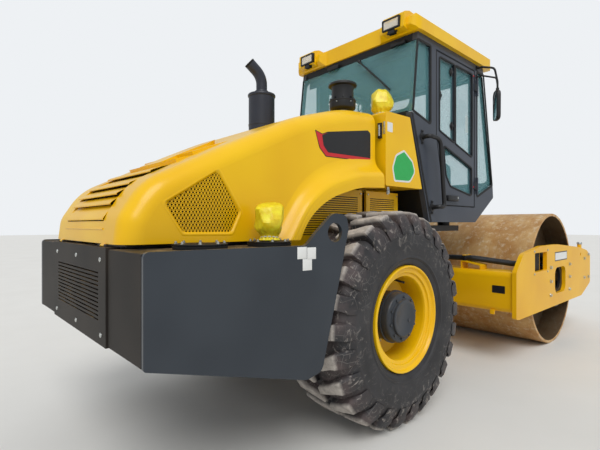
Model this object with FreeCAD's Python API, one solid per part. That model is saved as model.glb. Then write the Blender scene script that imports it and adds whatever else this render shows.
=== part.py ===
"""Single-drum soil compactor of the 16 tonne class: rear frame with cab and hood, steel drum in a frame.

The machine is laid out from the rear axle: x runs forward, y to the left, z up from the ground.
At the end everything moves by ORIGIN_SHIFT, so that the origin lies on the ground midway along the machine.
All lengths are in millimetres.
"""
import FreeCAD, Part
import math
import os
from FreeCAD import Vector

# Driving dimensions of the running gear
WHEELBASE = 3050.0
DRUM_RADIUS = 761.5
DRUM_WIDTH = 2130.0
DRUM_WALL = 32.0
DRUM_HEAD_INSET = 255.0
DRUM_HEAD_THICK = 30.0
TYRE_RADIUS = 745.0
TYRE_HALF_WIDTH = 262.0
TRACK_HALF = 822.0
LUG_HEIGHT = 42.0
LUG_COUNT = 26
RIM_RADIUS = 368.0
RIM_LIP = 14.0
RIM_FLANGE = 82.0
BEAD_SHARE = 0.80
BEAD_DROP = 4.0
HUB_RADIUS = 165.0
HUB_PROUD = 213.0
AXLE_TUBE_RADIUS = 115.0
AXLE_PAD_TOP = 132.0

# Centre joint and steering
PIVOT_PIN_RADIUS = 45.0
PIVOT_LOW = 590.0
PIVOT_HIGH = 950.0
EAR_THICK = 42.0
EAR_RADIUS = 120.0
RUN_GAP = 0.3
STEER_ARM_X = 120.0
STEER_ARM_Y = 280.0
STEER_Z = 770.0
STEER_REACH = 550.0
BARREL_RADIUS = 46.0
ROD_SHOWN = 255.0
ROD_RADIUS = 24.0
EYE_RADIUS = 42.0
EYE_THICK = 50.0
STEER_PIN_RADIUS = 22.0

# Front frame
PLATE_GAP = 45.0
PLATE_THICK = 40.0
PLATE_OUTER_Y = DRUM_WIDTH / 2 + PLATE_GAP + PLATE_THICK
BEAM_DEPTH = 300.0
REAR_BEAM_GAP = 268.5
FRONT_BEAM_GAP = 198.5
NECK_LENGTH = 220.0
BEAM_TOP = 930.0
BEAM_HEIGHT = 400.0
BEAM_ROUND = 55.0
HOSE_RADIUS = 26.0
HOSE_LIFT = 105.0
FRONT_BEAM_DEPTH = 260.0
BEAM_REAR_X = WHEELBASE - DRUM_RADIUS - REAR_BEAM_GAP - BEAM_DEPTH
FRONT_BEAM_X = WHEELBASE + DRUM_RADIUS + FRONT_BEAM_GAP
PIVOT_X = BEAM_REAR_X - NECK_LENGTH
STEER_BASE_X = PIVOT_X - STEER_REACH
PLATE_NOSE = 365.0
SIDE_PLATE = [
    # where x is measured from, x from there, z, corner radius
    (BEAM_REAR_X, -18, 486, 25), (BEAM_REAR_X, -18, 936, 25), (BEAM_REAR_X, 165, 1104, 150),
    (WHEELBASE, -660, 1165, 700), (WHEELBASE, -100, 1165, 900), (FRONT_BEAM_X, -160, 1098, 900),
    (FRONT_BEAM_X, 190, 1046, 250), (FRONT_BEAM_X, PLATE_NOSE, 972, 40), (FRONT_BEAM_X, PLATE_NOSE, 596, 40),
    (FRONT_BEAM_X, -60, 462, 120), (BEAM_REAR_X, 45, 474, 40),
]
HUB_HOLE = (200.0, 160.0, 138.0, 90.0)
HOSE_HOLE = (480.0, 855.0, 898.0, 1096.0)
TIE_HOLE = (-113.0, 1003.0)
TIE_HOLE_RADIUS = 22.0
BOSS_PLACE = (-85.0, 1152.0)
BOSS_RADIUS = 30.0

# Rear body
REAR_FACE_X = -1800.0
GRILLE_PROUD = 8.0
DECK_Z = 1282.0
WING_THICK = 25.0
WING_REAR_Y = 975.0
WING_FLARE = 4.086
TAIL_LENGTH = -REAR_FACE_X - TYRE_RADIUS
WING_OUTLINE = [
    # distance along the wing from its rear corner, z, corner radius
    (0, 790, 15), (TAIL_LENGTH - 191, 556, 60), (TAIL_LENGTH - 80, 580, 60), (TAIL_LENGTH + 67, 1133, 200),
    (TAIL_LENGTH + 126, 1372, 30), (TAIL_LENGTH + 110, 1452, 60), (TAIL_LENGTH + 5, 1462, 75),
    (TAIL_LENGTH - 130, 1345, 80), (TAIL_LENGTH - 193, DECK_Z, 60), (0, DECK_Z, 25),
]
LIFT_EYE = (TAIL_LENGTH + 17, 1350.0)
LIFT_EYE_RADIUS = 55.0
TANK_IN_Y = 540.0
TANK_TYRE_GAP = 135.0
TANK_FRONT_X = -TYRE_RADIUS - TANK_TYRE_GAP
GRILLE_HALF = 530.0
GRILLE_BOTTOM = 790.0
GRILLE_THICK = 22.0
SLOT_COUNT = 12
SLOT_HALF = 415.0
SLOT_HEIGHT = 8.0
SLOT_LOW = 912.0
SLOT_HIGH = 1150.0
HATCH_HEIGHT = 22.0
HATCHES = [
    # x, y, radius
    (-1446, 802, 135), (-1010, 802, 125),
]
FILLER_PLACE = (-1010, -802)
FILLER_TOP = 1338.0
BREATHER_PLACE = (410, -530)
BREATHER_TOP = 2343.0
RAIL_Y = 412.0
RAIL_THICK = 26.0
RAIL_TOP = 1268.0
BULKHEAD_X = STEER_BASE_X - 100.0
ENGINE_OVER_AXLE = 205.0

# Hood
HOOD_HALF = 650.0
HOOD_WALL = 14.0
HOOD_BOTTOM = 1297.0
HOOD_FRONT_X = 170.0
HOOD_SHOULDER = 110.0
HOOD_CORNER = 70.0
HOOD_PROFILE = [
    # x, z, corner radius, from the rear foot over the top to the front
    (-1780, 1297, 0), (-1764, 1430, 160), (-1645, 1622, 400), (-1200, 1845, 1500), (-620, 2122, 1500),
    (-130, 2270, 1200), (170, 2292, 0),
]
ARCH_LIP = [
    # x, z of the opening over the tyre
    (-TYRE_RADIUS - 17, HOOD_BOTTOM), (-TYRE_RADIUS + 105, 2 * TYRE_RADIUS - 53), (-443, 2 * TYRE_RADIUS + 84),
    (-127, 2 * TYRE_RADIUS + 175), (HOOD_FRONT_X, 2 * TYRE_RADIUS + 197),
]
ARCH_FLARE = 90.0
ARCH_BAND = 120.0
LOUVRE_HALF = 362.0
LOUVRE_STEPS = [
    # x, z of each slat's lower edge, the last is where the topmost slat ends
    (-1757, 1415), (-1721, 1497), (-1692, 1549), (-1628, 1608), (-1509, 1686), (-1362, 1764),
]
SLAT_PROUD = 14.0
SLAT_THICK = 8.0
SLAT_DIP = 2.0
LOUVRE_POST_Y = 300.0
STEP_PROUD = 22.0
STEPS = [
    # x where a step stands proud of the hood's back, x where it has run out
    (-1360, -1250), (-1250, -1000),
]
RIDGE_PROUD = 24.0
RIDGE_HALF = 165.0
RIDGE_END_X = -935.0
MESH_OUTLINE = [
    # x, z, corner radius of the side mesh
    (-1570, 1506, 20), (-1250, 1706, 20), (-1096, 1468, 20), (-1158, 1342, 20), (-1463, 1346, 20),
]

# Cab
CAB_HALF = 720.0
CAB_WALL = 50.0
CAB_FLOOR_Z = 1417.0
CAB_FLOOR_THICK = 30.0
CAB_RAIL_Z = 2990.0
CAB_TOP_Z = 3058.0
GLASS = 8.0
DOOR_GAP = 6.0
DOOR_OPENING = [
    # x, z, corner radius
    (980, 2990, 12), (980, 2200, 60), (1138, 1568, 12), (1762, 1568, 12), (1762, 2990, 12),
]
DOOR_WINDOW_UPPER = [
    (1045, 2935, 20), (1045, 2262, 20), (1700, 2085, 20), (1700, 2935, 20),
]
DOOR_WINDOW_LOWER = [
    (1120, 2130, 20), (1165, 1860, 60), (1250, 1760, 60), (1690, 1690, 30), (1690, 1970, 20),
]
CAB_SIDE = [
    # x, z, corner radius
    (862, CAB_FLOOR_Z, 10), (1772, CAB_FLOOR_Z, 10), (2215, 1690, 20), (2200, 1822, 0), (1950, CAB_TOP_Z, 5),
    (676, CAB_TOP_Z, 5), (572, 2325, 10),
]
QUARTER_WINDOW = [
    # x, z, corner radius; it runs out past the cab's rear edge
    (500, 2364, 0), (888, 2294, 20), (888, 2990, 10), (500, 2990, 0),
]
CORNER_WINDOW = [
    # x, z, corner radius; it runs out past the cab's front edge
    (1812, 1684, 12), (2300, 1857.6, 0), (2300, 2990, 0), (1812, 2990, 10),
]
REAR_GLASS = [(603, 2364), (676, 2990)]
SCREEN_GLASS = [(2200, 1822), (1964, 2990)]
GLASS_INSET = 30.0
DOOR_HINGE_X = 1792.0
DOOR_HINGE_Y = 732.0
DOOR_HINGE_RADIUS = 11.0
DOOR_HINGE_PIN = 5.0
DOOR_HINGE_TALL = 110.0
DOOR_HINGES = (1740.0, 2760.0)
PLATFORM_TOP = 1385.0
PLATFORM_LOW = 1330.0
ROOF_HALF = 762.0
ROOF_CORNER = 100.0
OIL_TANK_GAP = 26.0
SEAT_PAD_Z = 1840.0
SEAT_PAD_THICK = 100.0
STEERING_WHEEL_RADIUS = 185.0
PANEL_SLOTS = 18

# Hood hinge, in the gap between the deck and the hood's rear edge
HINGE_X = -1786.0
HINGE_Z = 1289.5
HINGE_RADIUS = 7.0
HINGE_PIN = 3.5
HINGE_PLACES = (-420.0, 420.0)

# What stands through the hood
STACK_PLACE = (-430.0, 35.0)
STACK_RADIUS = 105.0
CLEANER_PLACE = (58.0, -407.0)
CLEANER_NECK = 55.0
SEAT = 0.3

ORIGIN_SHIFT = -(REAR_FACE_X - GRILLE_PROUD + FRONT_BEAM_X + PLATE_NOSE) / 2.0

UP = Vector(0, 0, 1)
LEFT = Vector(0, 1, 0)
AHEAD = Vector(1, 0, 0)


def box(x0, x1, y0, y1, z0, z1):
    return Part.makeBox(x1 - x0, y1 - y0, z1 - z0, Vector(x0, y0, z0))


def rod(start, end, radius):
    start, end = Vector(*start), Vector(*end)
    return Part.makeCylinder(radius, (end - start).Length, start, end - start)


def post(x, y, low, high, radius):
    """Round bar that stands upright from low to high."""
    return rod((x, y, low), (x, y, high), radius)


def crossbar(x, z, y0, y1, radius):
    """Round bar across the machine from y0 to y1."""
    return rod((x, y0, z), (x, y1, z), radius)


def rounded_wire(corners, place):
    """Closed outline from rows of u, v and corner radius, set in space by place(u, v)."""
    points = [Vector(row[0], row[1], 0) for row in corners]
    count = len(points)
    starts, ends, mids = [], [], []
    for i, corner in enumerate(points):
        radius = corners[i][2] if len(corners[i]) > 2 else 0
        back = points[i - 1] - corner
        ahead = points[(i + 1) % count] - corner
        turn = back.getAngle(ahead)
        if radius <= 0 or abs(math.pi - turn) < 1e-4:
            starts.append(corner)
            ends.append(corner)
            mids.append(None)
            continue
        cut = min(radius / math.tan(turn / 2), 0.48 * back.Length, 0.48 * ahead.Length)
        reach = cut * math.tan(turn / 2)
        bisector = (back.normalize() + ahead.normalize()).normalize()
        centre = corner + bisector * (reach / math.sin(turn / 2))
        starts.append(corner + back * cut)
        ends.append(corner + ahead * cut)
        mids.append(centre - bisector * reach)
    edges = []
    for i in range(count):
        if mids[i] is not None:
            points = [place(*row[i][:2]) for row in (starts, mids, ends)]
            edges.append(Part.Arc(*points).toShape())
        following = starts[(i + 1) % count]
        if (following - ends[i]).Length > 1e-6:
            edges.append(Part.LineSegment(place(*ends[i][:2]), place(*following[:2])).toShape())
    return Part.Wire(Part.__sortEdges__(edges))


def slab_y(corners, y0, y1):
    """Outline in x and z, drawn out from y0 to y1."""
    wire = rounded_wire(corners, lambda u, v: Vector(u, y0, v))
    return Part.Face(wire).extrude(Vector(0, y1 - y0, 0))


def slab_x(corners, x0, x1):
    """Outline in y and z, drawn out from x0 to x1."""
    wire = rounded_wire(corners, lambda u, v: Vector(x0, u, v))
    return Part.Face(wire).extrude(Vector(x1 - x0, 0, 0))


def slab_z(corners, z0, z1):
    """Outline in x and y, drawn out from z0 to z1."""
    wire = rounded_wire(corners, lambda u, v: Vector(u, v, z0))
    return Part.Face(wire).extrude(Vector(0, 0, z1 - z0))


def rectangle(u0, u1, v0, v1, radius=0.0):
    return [(u0, v0, radius), (u1, v0, radius), (u1, v1, radius), (u0, v1, radius)]


def spun(corners, centre_x, centre_z):
    """Ring turned about a cross axis from rows of y and radius."""
    wire = rounded_wire(corners, lambda u, v: Vector(centre_x, u, centre_z + v))
    return Part.Face(wire).revolve(Vector(centre_x, 0, centre_z), LEFT, 360)


def mirrored(shape):
    return shape.mirror(Vector(0, 0, 0), LEFT)


def pair(shape):
    return [shape, mirrored(shape)]


def bundle(shapes):
    """Several solids of one node that don't touch."""
    solids = []
    for shape in shapes:
        solids.extend(shape.Solids)
    return Part.makeCompound(solids)


def joined(shapes):
    result = shapes[0]
    if len(shapes) > 1:
        result = result.fuse(shapes[1:])
    return result.removeSplitter()


def bent_tube(points, radius, bend):
    """Round tube along straight runs with an arc of radius bend at each inner point."""
    points = [Vector(*p) for p in points]
    edges = []
    last = points[0]
    for i in range(1, len(points) - 1):
        corner = points[i]
        back = points[i - 1] - corner
        ahead = points[i + 1] - corner
        turn = back.getAngle(ahead)
        cut = min(bend / math.tan(turn / 2), 0.45 * back.Length, 0.45 * ahead.Length)
        reach = cut * math.tan(turn / 2)
        bisector = (back.normalize() + ahead.normalize()).normalize()
        start = corner + back * cut
        end = corner + ahead * cut
        middle = corner + bisector * (reach / math.sin(turn / 2) - reach)
        edges.append(Part.LineSegment(last, start).toShape())
        edges.append(Part.Arc(start, middle, end).toShape())
        last = end
    edges.append(Part.LineSegment(last, points[-1]).toShape())
    path = Part.Wire(edges)
    profile = Part.Wire([Part.makeCircle(radius, points[0], points[1] - points[0])])
    return path.makePipeShell([profile], True, False)


# Wheels and drum

def tyre(side):
    """Carcass with angled traction lugs, one row to each side of the crown."""
    half = TYRE_HALF_WIDTH
    base = TYRE_RADIUS - LUG_HEIGHT
    carcass = spun([
        (-half * BEAD_SHARE, RIM_RADIUS - BEAD_DROP, 0), (-half, RIM_RADIUS + 120, 90),
        (-half * 0.93, base - 85, 60), (-half * 0.78, base - 8, 40),
        (half * 0.78, base - 8, 40), (half * 0.93, base - 85, 60),
        (half, RIM_RADIUS + 120, 90), (half * BEAD_SHARE, RIM_RADIUS - BEAD_DROP, 0),
    ], 0, TYRE_RADIUS)
    crown = spun([
        (6, base - 30, 0), (6, TYRE_RADIUS, 0), (half * 0.72, TYRE_RADIUS, 0),
        (half * 0.87, base - 8, 0), (half * 1.03, base - 92, 0), (half * 0.86, base - 100, 0),
    ], 0, TYRE_RADIUS)
    bar = [
        # along the tread, across the tread
        (-58, 2), (-8, 2), (55, half * 0.60), (75, half * 1.1), (-22, half * 1.1), (-25, half * 0.62),
    ]
    lug = slab_z([(u, v, 0) for u, v in bar], TYRE_RADIUS + base - 160, 2 * TYRE_RADIUS + 5).common(crown)
    other = mirrored(lug)
    step = 360.0 / LUG_COUNT
    other.rotate(Vector(0, 0, TYRE_RADIUS), LEFT, step / 2)
    lugs = []
    for i in range(LUG_COUNT):
        for piece in (lug, other):
            copy = piece.copy()
            copy.rotate(Vector(0, 0, TYRE_RADIUS), LEFT, step * i)
            lugs.append(copy)
    whole = carcass.fuse(lugs)
    whole.translate(Vector(0, side * TRACK_HALF, 0))
    return whole


def rim(side):
    """Dished rim: the disc sits far in and the bead seats carry the tyre."""
    half = TYRE_HALF_WIDTH * BEAD_SHARE + 2.5
    seat = RIM_RADIUS - BEAD_DROP - SEAT
    well = RIM_RADIUS - RIM_FLANGE
    ring = spun([
        (half + 28, RIM_RADIUS, 6), (half + 28, RIM_RADIUS - RIM_LIP, 6), (half + 8, RIM_RADIUS - 24, 6),
        (half + 5, RIM_RADIUS - 50, 4), (half - 10, RIM_RADIUS - 54, 5),
        (half - 14, well + 5, 6), (half - 32, well, 8),
        (-30, well, 0), (-60, RIM_RADIUS - 60, 10), (-half, RIM_RADIUS - 42, 10),
        (-half - 28, RIM_RADIUS - RIM_LIP, 6), (-half - 28, RIM_RADIUS, 6), (-half, RIM_RADIUS, 0),
        (-half, seat, 0), (half, seat, 0), (half, RIM_RADIUS, 0),
    ], 0, TYRE_RADIUS)
    disc = spun([
        (-30, well + 1, 0), (-30, 90, 0), (-10, 90, 0), (-10, HUB_RADIUS + 40, 20), (26, well + 1, 0),
    ], 0, TYRE_RADIUS)
    whole = joined([ring, disc])
    whole.translate(Vector(0, TRACK_HALF, 0))
    return whole if side > 0 else mirrored(whole)


def hub(side):
    """Planetary hub: a stepped drum that stands out of the dished rim."""
    whole = spun([
        (-125, 0, 0), (-125, 130, 0), (-30.3, 130, 0), (-30.3, 89.7, 0), (-9.7, 89.7, 0), (-9.7, HUB_RADIUS, 0),
        (HUB_PROUD - 38, HUB_RADIUS, 12), (HUB_PROUD - 18, HUB_RADIUS - 15, 6), (HUB_PROUD - 18, 119, 4),
        (HUB_PROUD, 117, 6), (HUB_PROUD, 0, 0),
    ], 0, TYRE_RADIUS)
    whole.translate(Vector(0, TRACK_HALF, 0))
    return whole if side > 0 else mirrored(whole)


def drum():
    """Rolled shell with two recessed heads and the stub shafts that its carriers hold."""
    half = DRUM_WIDTH / 2
    head = half - DRUM_HEAD_INSET
    inner = DRUM_RADIUS - DRUM_WALL
    shell = spun([
        (-half, DRUM_RADIUS, 6), (half, DRUM_RADIUS, 6), (half, inner, 6), (head, inner, 0),
        (head, 150, 0), (head + 25, 150, 0), (head + 25, 80, 0), (head + 105, 80, 0), (head + 105, 0, 0),
        (-head - 105, 0, 0), (-head - 105, 80, 0), (-head - 25, 80, 0), (-head - 25, 150, 0), (-head, 150, 0),
        (-head, inner, 0), (-half, inner, 6),
    ], WHEELBASE, DRUM_RADIUS)
    cavity = spun([
        (-head + DRUM_HEAD_THICK, 170, 0), (-head + DRUM_HEAD_THICK, inner, 0),
        (head - DRUM_HEAD_THICK, inner, 0), (head - DRUM_HEAD_THICK, 170, 0),
    ], WHEELBASE, DRUM_RADIUS)
    return shell.cut(cavity)


def rear_axle():
    """Drive axle: a banjo housing with a tube out to each hub."""
    reach = TRACK_HALF - 125.3
    tube = rod((0, -reach, TYRE_RADIUS), (0, reach, TYRE_RADIUS), AXLE_TUBE_RADIUS)
    flanges = [rod((0, s * reach, TYRE_RADIUS), (0, s * (reach - 40), TYRE_RADIUS), 150) for s in (1, -1)]
    belly = Part.makeSphere(205, Vector(0, 0, TYRE_RADIUS))
    belly = belly.common(box(-230, 230, -170, 170, TYRE_RADIUS - 205, TYRE_RADIUS + 165))
    pads = pair(box(-120, 120, RAIL_Y - 70, RAIL_Y + 70, TYRE_RADIUS + 60, TYRE_RADIUS + AXLE_PAD_TOP))
    nose = rod((150, 0, TYRE_RADIUS), (330, 0, TYRE_RADIUS), 95)
    return joined([tube, belly, nose] + flanges + pads)


# Front frame

def side_opening(y0, y1):
    """What is cut from a side plate: the hub's window, the hoses' window and the tie-down hole."""
    half, down, above, corner = HUB_HOLE
    outline = rectangle(WHEELBASE - half, WHEELBASE + half, DRUM_RADIUS - down, DRUM_RADIUS + above, corner)
    hub_hole = slab_y(outline, y0, y1)
    back, ahead, low, high = HOSE_HOLE
    hose_hole = slab_y(rectangle(BEAM_REAR_X + back, BEAM_REAR_X + ahead, low, high, 12), y0, y1)
    x_tie = FRONT_BEAM_X + TIE_HOLE[0]
    tie_hole = rod((x_tie, y0, TIE_HOLE[1]), (x_tie, y1, TIE_HOLE[1]), TIE_HOLE_RADIUS)
    return [hub_hole, hose_hole, tie_hole]


def drum_frame():
    """Two side plates tied by a box beam behind the drum and one ahead of it."""
    inner = PLATE_OUTER_Y - PLATE_THICK
    plate = slab_y([(start + dx, z, radius) for start, dx, z, radius in SIDE_PLATE], inner, PLATE_OUTER_Y)
    plate = plate.cut(side_opening(inner - 1, PLATE_OUTER_Y + 1))
    x_boss, boss_top = FRONT_BEAM_X + BOSS_PLACE[0], BOSS_PLACE[1]
    y_boss = PLATE_OUTER_Y - PLATE_THICK / 2
    boss = rod((x_boss, y_boss, boss_top - 70), (x_boss, y_boss, boss_top), BOSS_RADIUS)
    plate = plate.fuse(boss.common(box(x_boss - 50, x_boss + 50, inner, PLATE_OUTER_Y, 900, boss_top)))
    beams = []
    for x0, depth in ((BEAM_REAR_X, BEAM_DEPTH), (FRONT_BEAM_X, FRONT_BEAM_DEPTH)):
        outline = rectangle(x0, x0 + depth, BEAM_TOP - BEAM_HEIGHT, BEAM_TOP, BEAM_ROUND)
        beams.append(slab_y(outline, -inner - 1, inner + 1))
    top = BEAM_TOP + HOSE_LIFT - HOSE_RADIUS - SEAT
    strip = [
        # y, z of the bent strip that carries the hoses, tall leg, saddle, short leg
        (-560, BEAM_TOP - 5, 0), (-560, top, 0), (-602, top, 0), (-772, top - 32, 12), (-772, BEAM_TOP - 5, 0),
        (-762, BEAM_TOP - 5, 0), (-762, top - 42, 0), (-602, top - 10, 0), (-570, top - 10, 0),
        (-570, BEAM_TOP - 5, 0),
    ]
    bracket = slab_x(strip, BEAM_REAR_X + 60, BEAM_REAR_X + 215)
    ears = []
    for side in (1, -1):
        for z in (STEER_Z - EYE_THICK / 2 - 8 - 25, STEER_Z + EYE_THICK / 2 + 8):
            x_eye = PIVOT_X + STEER_ARM_X
            y_eye = side * STEER_ARM_Y
            outline = [
                (BEAM_REAR_X + 10, y_eye - 75, 0), (BEAM_REAR_X + 10, y_eye + 75, 0),
                (x_eye - 45, y_eye + 45, 45), (x_eye - 45, y_eye - 45, 45),
            ]
            ears.append(slab_z(outline, z, z + 25))
    return joined([plate, mirrored(plate), bracket] + beams + ears)


def centre_joint():
    """Vertical hub between the rear frame's ears, with the swivel bearing bolted to the rear beam."""
    hub_post = post(PIVOT_X, 0, PIVOT_LOW + 0.5, PIVOT_HIGH - 0.5, 98)
    swivel = rod((PIVOT_X, 0, STEER_Z), (BEAM_REAR_X, 0, STEER_Z), 128)
    flange = rod((BEAM_REAR_X - 35, 0, STEER_Z), (BEAM_REAR_X, 0, STEER_Z), 155)
    bore = post(PIVOT_X, 0, PIVOT_LOW - 1, PIVOT_HIGH + 1, PIVOT_PIN_RADIUS + RUN_GAP)
    return joined([hub_post, swivel, flange]).cut(bore)


def drum_carriers():
    """Each side: a mounting disc on the side plate, rubber buffers and the bearing hub for the drum's stub."""
    inner = PLATE_OUTER_Y - PLATE_THICK
    head = DRUM_WIDTH / 2 - DRUM_HEAD_INSET
    ring = [(inner - 25, 140, 0), (inner - 25, 330, 0), (inner, 330, 0), (inner, 140, 0)]
    disc = spun(ring, WHEELBASE, DRUM_RADIUS)
    flange = spun([
        (head + 30, 80 + RUN_GAP, 0), (head + 30, 165, 0), (head + 110, 165, 0), (head + 110, 315, 0),
        (head + 140, 315, 0), (head + 140, 0, 0), (head + 106, 0, 0), (head + 106, 80 + RUN_GAP, 0),
    ], WHEELBASE, DRUM_RADIUS)
    parts = [disc, flange]
    for i in range(8):
        angle = math.radians(22.5 + 45 * i)
        x = WHEELBASE + 265 * math.cos(angle)
        z = DRUM_RADIUS + 265 * math.sin(angle)
        parts.append(rod((x, head + 139, z), (x, inner - 24, z), 48))
    one = joined(parts)
    return bundle(pair(one))


def scrapers():
    """A blade behind and one ahead of the drum, each on arms from its beam."""
    pieces = []
    blade_z = 590.0
    reach = math.sqrt(DRUM_RADIUS ** 2 - (DRUM_RADIUS - blade_z) ** 2)
    for sign, face in ((-1, BEAM_REAR_X + BEAM_DEPTH), (1, FRONT_BEAM_X)):
        edge = WHEELBASE + sign * (reach + 8)
        back, ahead = sorted((edge, edge + sign * 110))
        half = DRUM_WIDTH / 2 - 65
        blade = box(back, ahead, -half, half, blade_z - 12, blade_z + 12)
        parts = [blade]
        for y in (-780, -260, 260, 780):
            low, high = sorted((face, edge + sign * 60))
            parts.append(box(low, high, y - 20, y + 20, blade_z - 50, blade_z - 5))
        pieces.append(joined(parts))
    return bundle(pieces)


def drum_hoses():
    """Two oil hoses held along the top of the rear beam, from the centre joint to the right side plate."""
    inner = PLATE_OUTER_Y - PLATE_THICK
    hoses = []
    lift = BEAM_TOP + HOSE_LIFT
    for ahead in (0, 62):
        start = BEAM_REAR_X + 70 + ahead
        route = [
            (start, -60, BEAM_TOP), (start, -60, BEAM_TOP + 60), (start + 10, -190, lift),
            (start + 25, -420, lift), (start + 60, -660, lift), (start + 130, -860, lift - 24),
            (start + 170, -inner + 100, lift - 40), (start + 170, -inner + SEAT, lift - 40),
        ]
        hoses.append(bent_tube(route, HOSE_RADIUS, 160))
    return bundle(hoses)


# Steering cylinders

def steer_barrel(side):
    """Barrel with its rear eye; at rest it lies straight between its two pins."""
    y = side * STEER_ARM_Y
    eye = post(STEER_BASE_X, y, STEER_Z - EYE_THICK / 2, STEER_Z + EYE_THICK / 2, EYE_RADIUS)
    mouth = PIVOT_X + STEER_ARM_X - ROD_SHOWN
    neck = rod((STEER_BASE_X + 20, y, STEER_Z), (STEER_BASE_X + 60, y, STEER_Z), 24)
    body = rod((STEER_BASE_X + 50, y, STEER_Z), (mouth, y, STEER_Z), BARREL_RADIUS)
    gland = rod((mouth - 30, y, STEER_Z), (mouth, y, STEER_Z), BARREL_RADIUS + 6)
    room = rod((STEER_BASE_X + 75, y, STEER_Z), (mouth + 1, y, STEER_Z), ROD_RADIUS + RUN_GAP)
    pin = post(STEER_BASE_X, y, STEER_Z - 60, STEER_Z + 60, STEER_PIN_RADIUS + RUN_GAP)
    return joined([eye, neck, body, gland]).cut([room, pin])


def steer_rod(side):
    """Chromed rod with the eye that sits between the front frame's ears."""
    y = side * STEER_ARM_Y
    x_eye = PIVOT_X + STEER_ARM_X
    eye = post(x_eye, y, STEER_Z - EYE_THICK / 2, STEER_Z + EYE_THICK / 2, EYE_RADIUS)
    shaft = rod((STEER_BASE_X + 250, y, STEER_Z), (x_eye - 20, y, STEER_Z), ROD_RADIUS)
    return joined([eye, shaft])


# Rear frame and what stands on it

def rear_frame():
    """Two rails from the rear plate to the bulkhead, then the ears of the centre joint and the cab platform."""
    rail = slab_y([
        (REAR_FACE_X + 60, 830, 0), (-330, 600, 40), (-240, 700, 40),
        (-220, TYRE_RADIUS + AXLE_PAD_TOP, 20), (220, TYRE_RADIUS + AXLE_PAD_TOP, 20),
        (240, 700, 40), (330, 600, 40), (BULKHEAD_X, 560, 0),
        (BULKHEAD_X, RAIL_TOP, 0), (REAR_FACE_X + 60, RAIL_TOP, 0),
    ], RAIL_Y - RAIL_THICK / 2, RAIL_Y + RAIL_THICK / 2)
    inner = RAIL_Y - RAIL_THICK / 2 + 1
    bulkhead = box(BULKHEAD_X - 30, BULKHEAD_X, -inner, inner, 560, RAIL_TOP)
    cross = [box(x, x + 24, -inner, inner, 900, RAIL_TOP) for x in (-1400, -780, BULKHEAD_X - 430)]
    parts = [rail, mirrored(rail), bulkhead] + cross
    for z in (PIVOT_LOW - EAR_THICK, PIVOT_HIGH):
        ear = slab_z([
            (BULKHEAD_X - 1, -230, 0), (PIVOT_X - 60, -EAR_RADIUS, 30),
            (PIVOT_X + EAR_RADIUS, -EAR_RADIUS, EAR_RADIUS - 5),
            (PIVOT_X + EAR_RADIUS, EAR_RADIUS, EAR_RADIUS - 5), (PIVOT_X - 60, EAR_RADIUS, 30),
            (BULKHEAD_X - 1, 230, 0),
        ], z, z + EAR_THICK)
        parts.append(ear)
    parts.append(post(PIVOT_X, 0, PIVOT_LOW - EAR_THICK - 30, PIVOT_HIGH + EAR_THICK + 30, PIVOT_PIN_RADIUS))
    web = slab_y([
        (BULKHEAD_X - 1, PIVOT_HIGH + EAR_THICK - 1, 0), (PIVOT_X - 190, PIVOT_HIGH + EAR_THICK - 1, 0),
        (PIVOT_X + 150, 1331, 0), (BULKHEAD_X - 1, 1331, 0),
    ], 150, 172)
    parts += pair(web)
    parts.append(box(660, 1650, -600, 600, PLATFORM_LOW, PLATFORM_TOP))
    parts.append(box(280, 661, -390, 390, PLATFORM_LOW, PLATFORM_TOP))
    parts.append(box(BULKHEAD_X - 60, BULKHEAD_X, -330, 330, RAIL_TOP - 1, PLATFORM_LOW + 1))
    parts += pair(box(300, 340, 380, RAIL_Y + RAIL_THICK / 2, RAIL_TOP - 1, PLATFORM_LOW + 1))
    for side in (1, -1):
        y = side * STEER_ARM_Y
        for z in (STEER_Z - EYE_THICK / 2 - 27, STEER_Z + EYE_THICK / 2 + 2):
            parts.append(slab_z([
                (BULKHEAD_X - 1, y - 60, 0), (STEER_BASE_X + 40, y - 40, 40), (STEER_BASE_X + 40, y + 40, 40),
                (BULKHEAD_X - 1, y + 60, 0),
            ], z, z + 25))
        low, high = STEER_Z - EYE_THICK / 2 - 35, STEER_Z + EYE_THICK / 2 + 35
        parts.append(post(STEER_BASE_X, y, low, high, STEER_PIN_RADIUS))
    return joined(parts)


def wing(side):
    """Thick flared side plate of the tail, with the lifting eye above its front end."""
    plate = slab_y(WING_OUTLINE, -WING_THICK, 0)
    plate = plate.cut(crossbar(LIFT_EYE[0], LIFT_EYE[1], -WING_THICK - 1, 1, LIFT_EYE_RADIUS))
    plate.rotate(Vector(0, 0, 0), UP, WING_FLARE)
    plate.translate(Vector(REAR_FACE_X, WING_REAR_Y, 0))
    return plate if side > 0 else mirrored(plate)


def tank(side):
    """Tank between the wing and the middle of the tail; its foot rises with the wing's."""
    fall = math.tan(math.radians(WING_FLARE))
    body = slab_y([
        (REAR_FACE_X + 0.5, 797, 0), (TANK_FRONT_X, 575, 40), (TANK_FRONT_X, DECK_Z - 8, 20),
        (REAR_FACE_X + 0.5, DECK_Z - 8, 10),
    ], TANK_IN_Y, WING_REAR_Y + 80)
    length = TANK_FRONT_X - REAR_FACE_X
    edge = WING_REAR_Y - WING_THICK / math.cos(math.radians(WING_FLARE)) - SEAT
    trim = slab_z([
        (REAR_FACE_X - 5, edge - fall * 5, 0), (TANK_FRONT_X + 5, edge + fall * (length + 5), 0),
        (TANK_FRONT_X + 5, edge + 400, 0), (REAR_FACE_X - 5, edge + 400, 0),
    ], 400, 1500)
    body = body.cut(trim)
    return body if side > 0 else mirrored(body)


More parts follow.
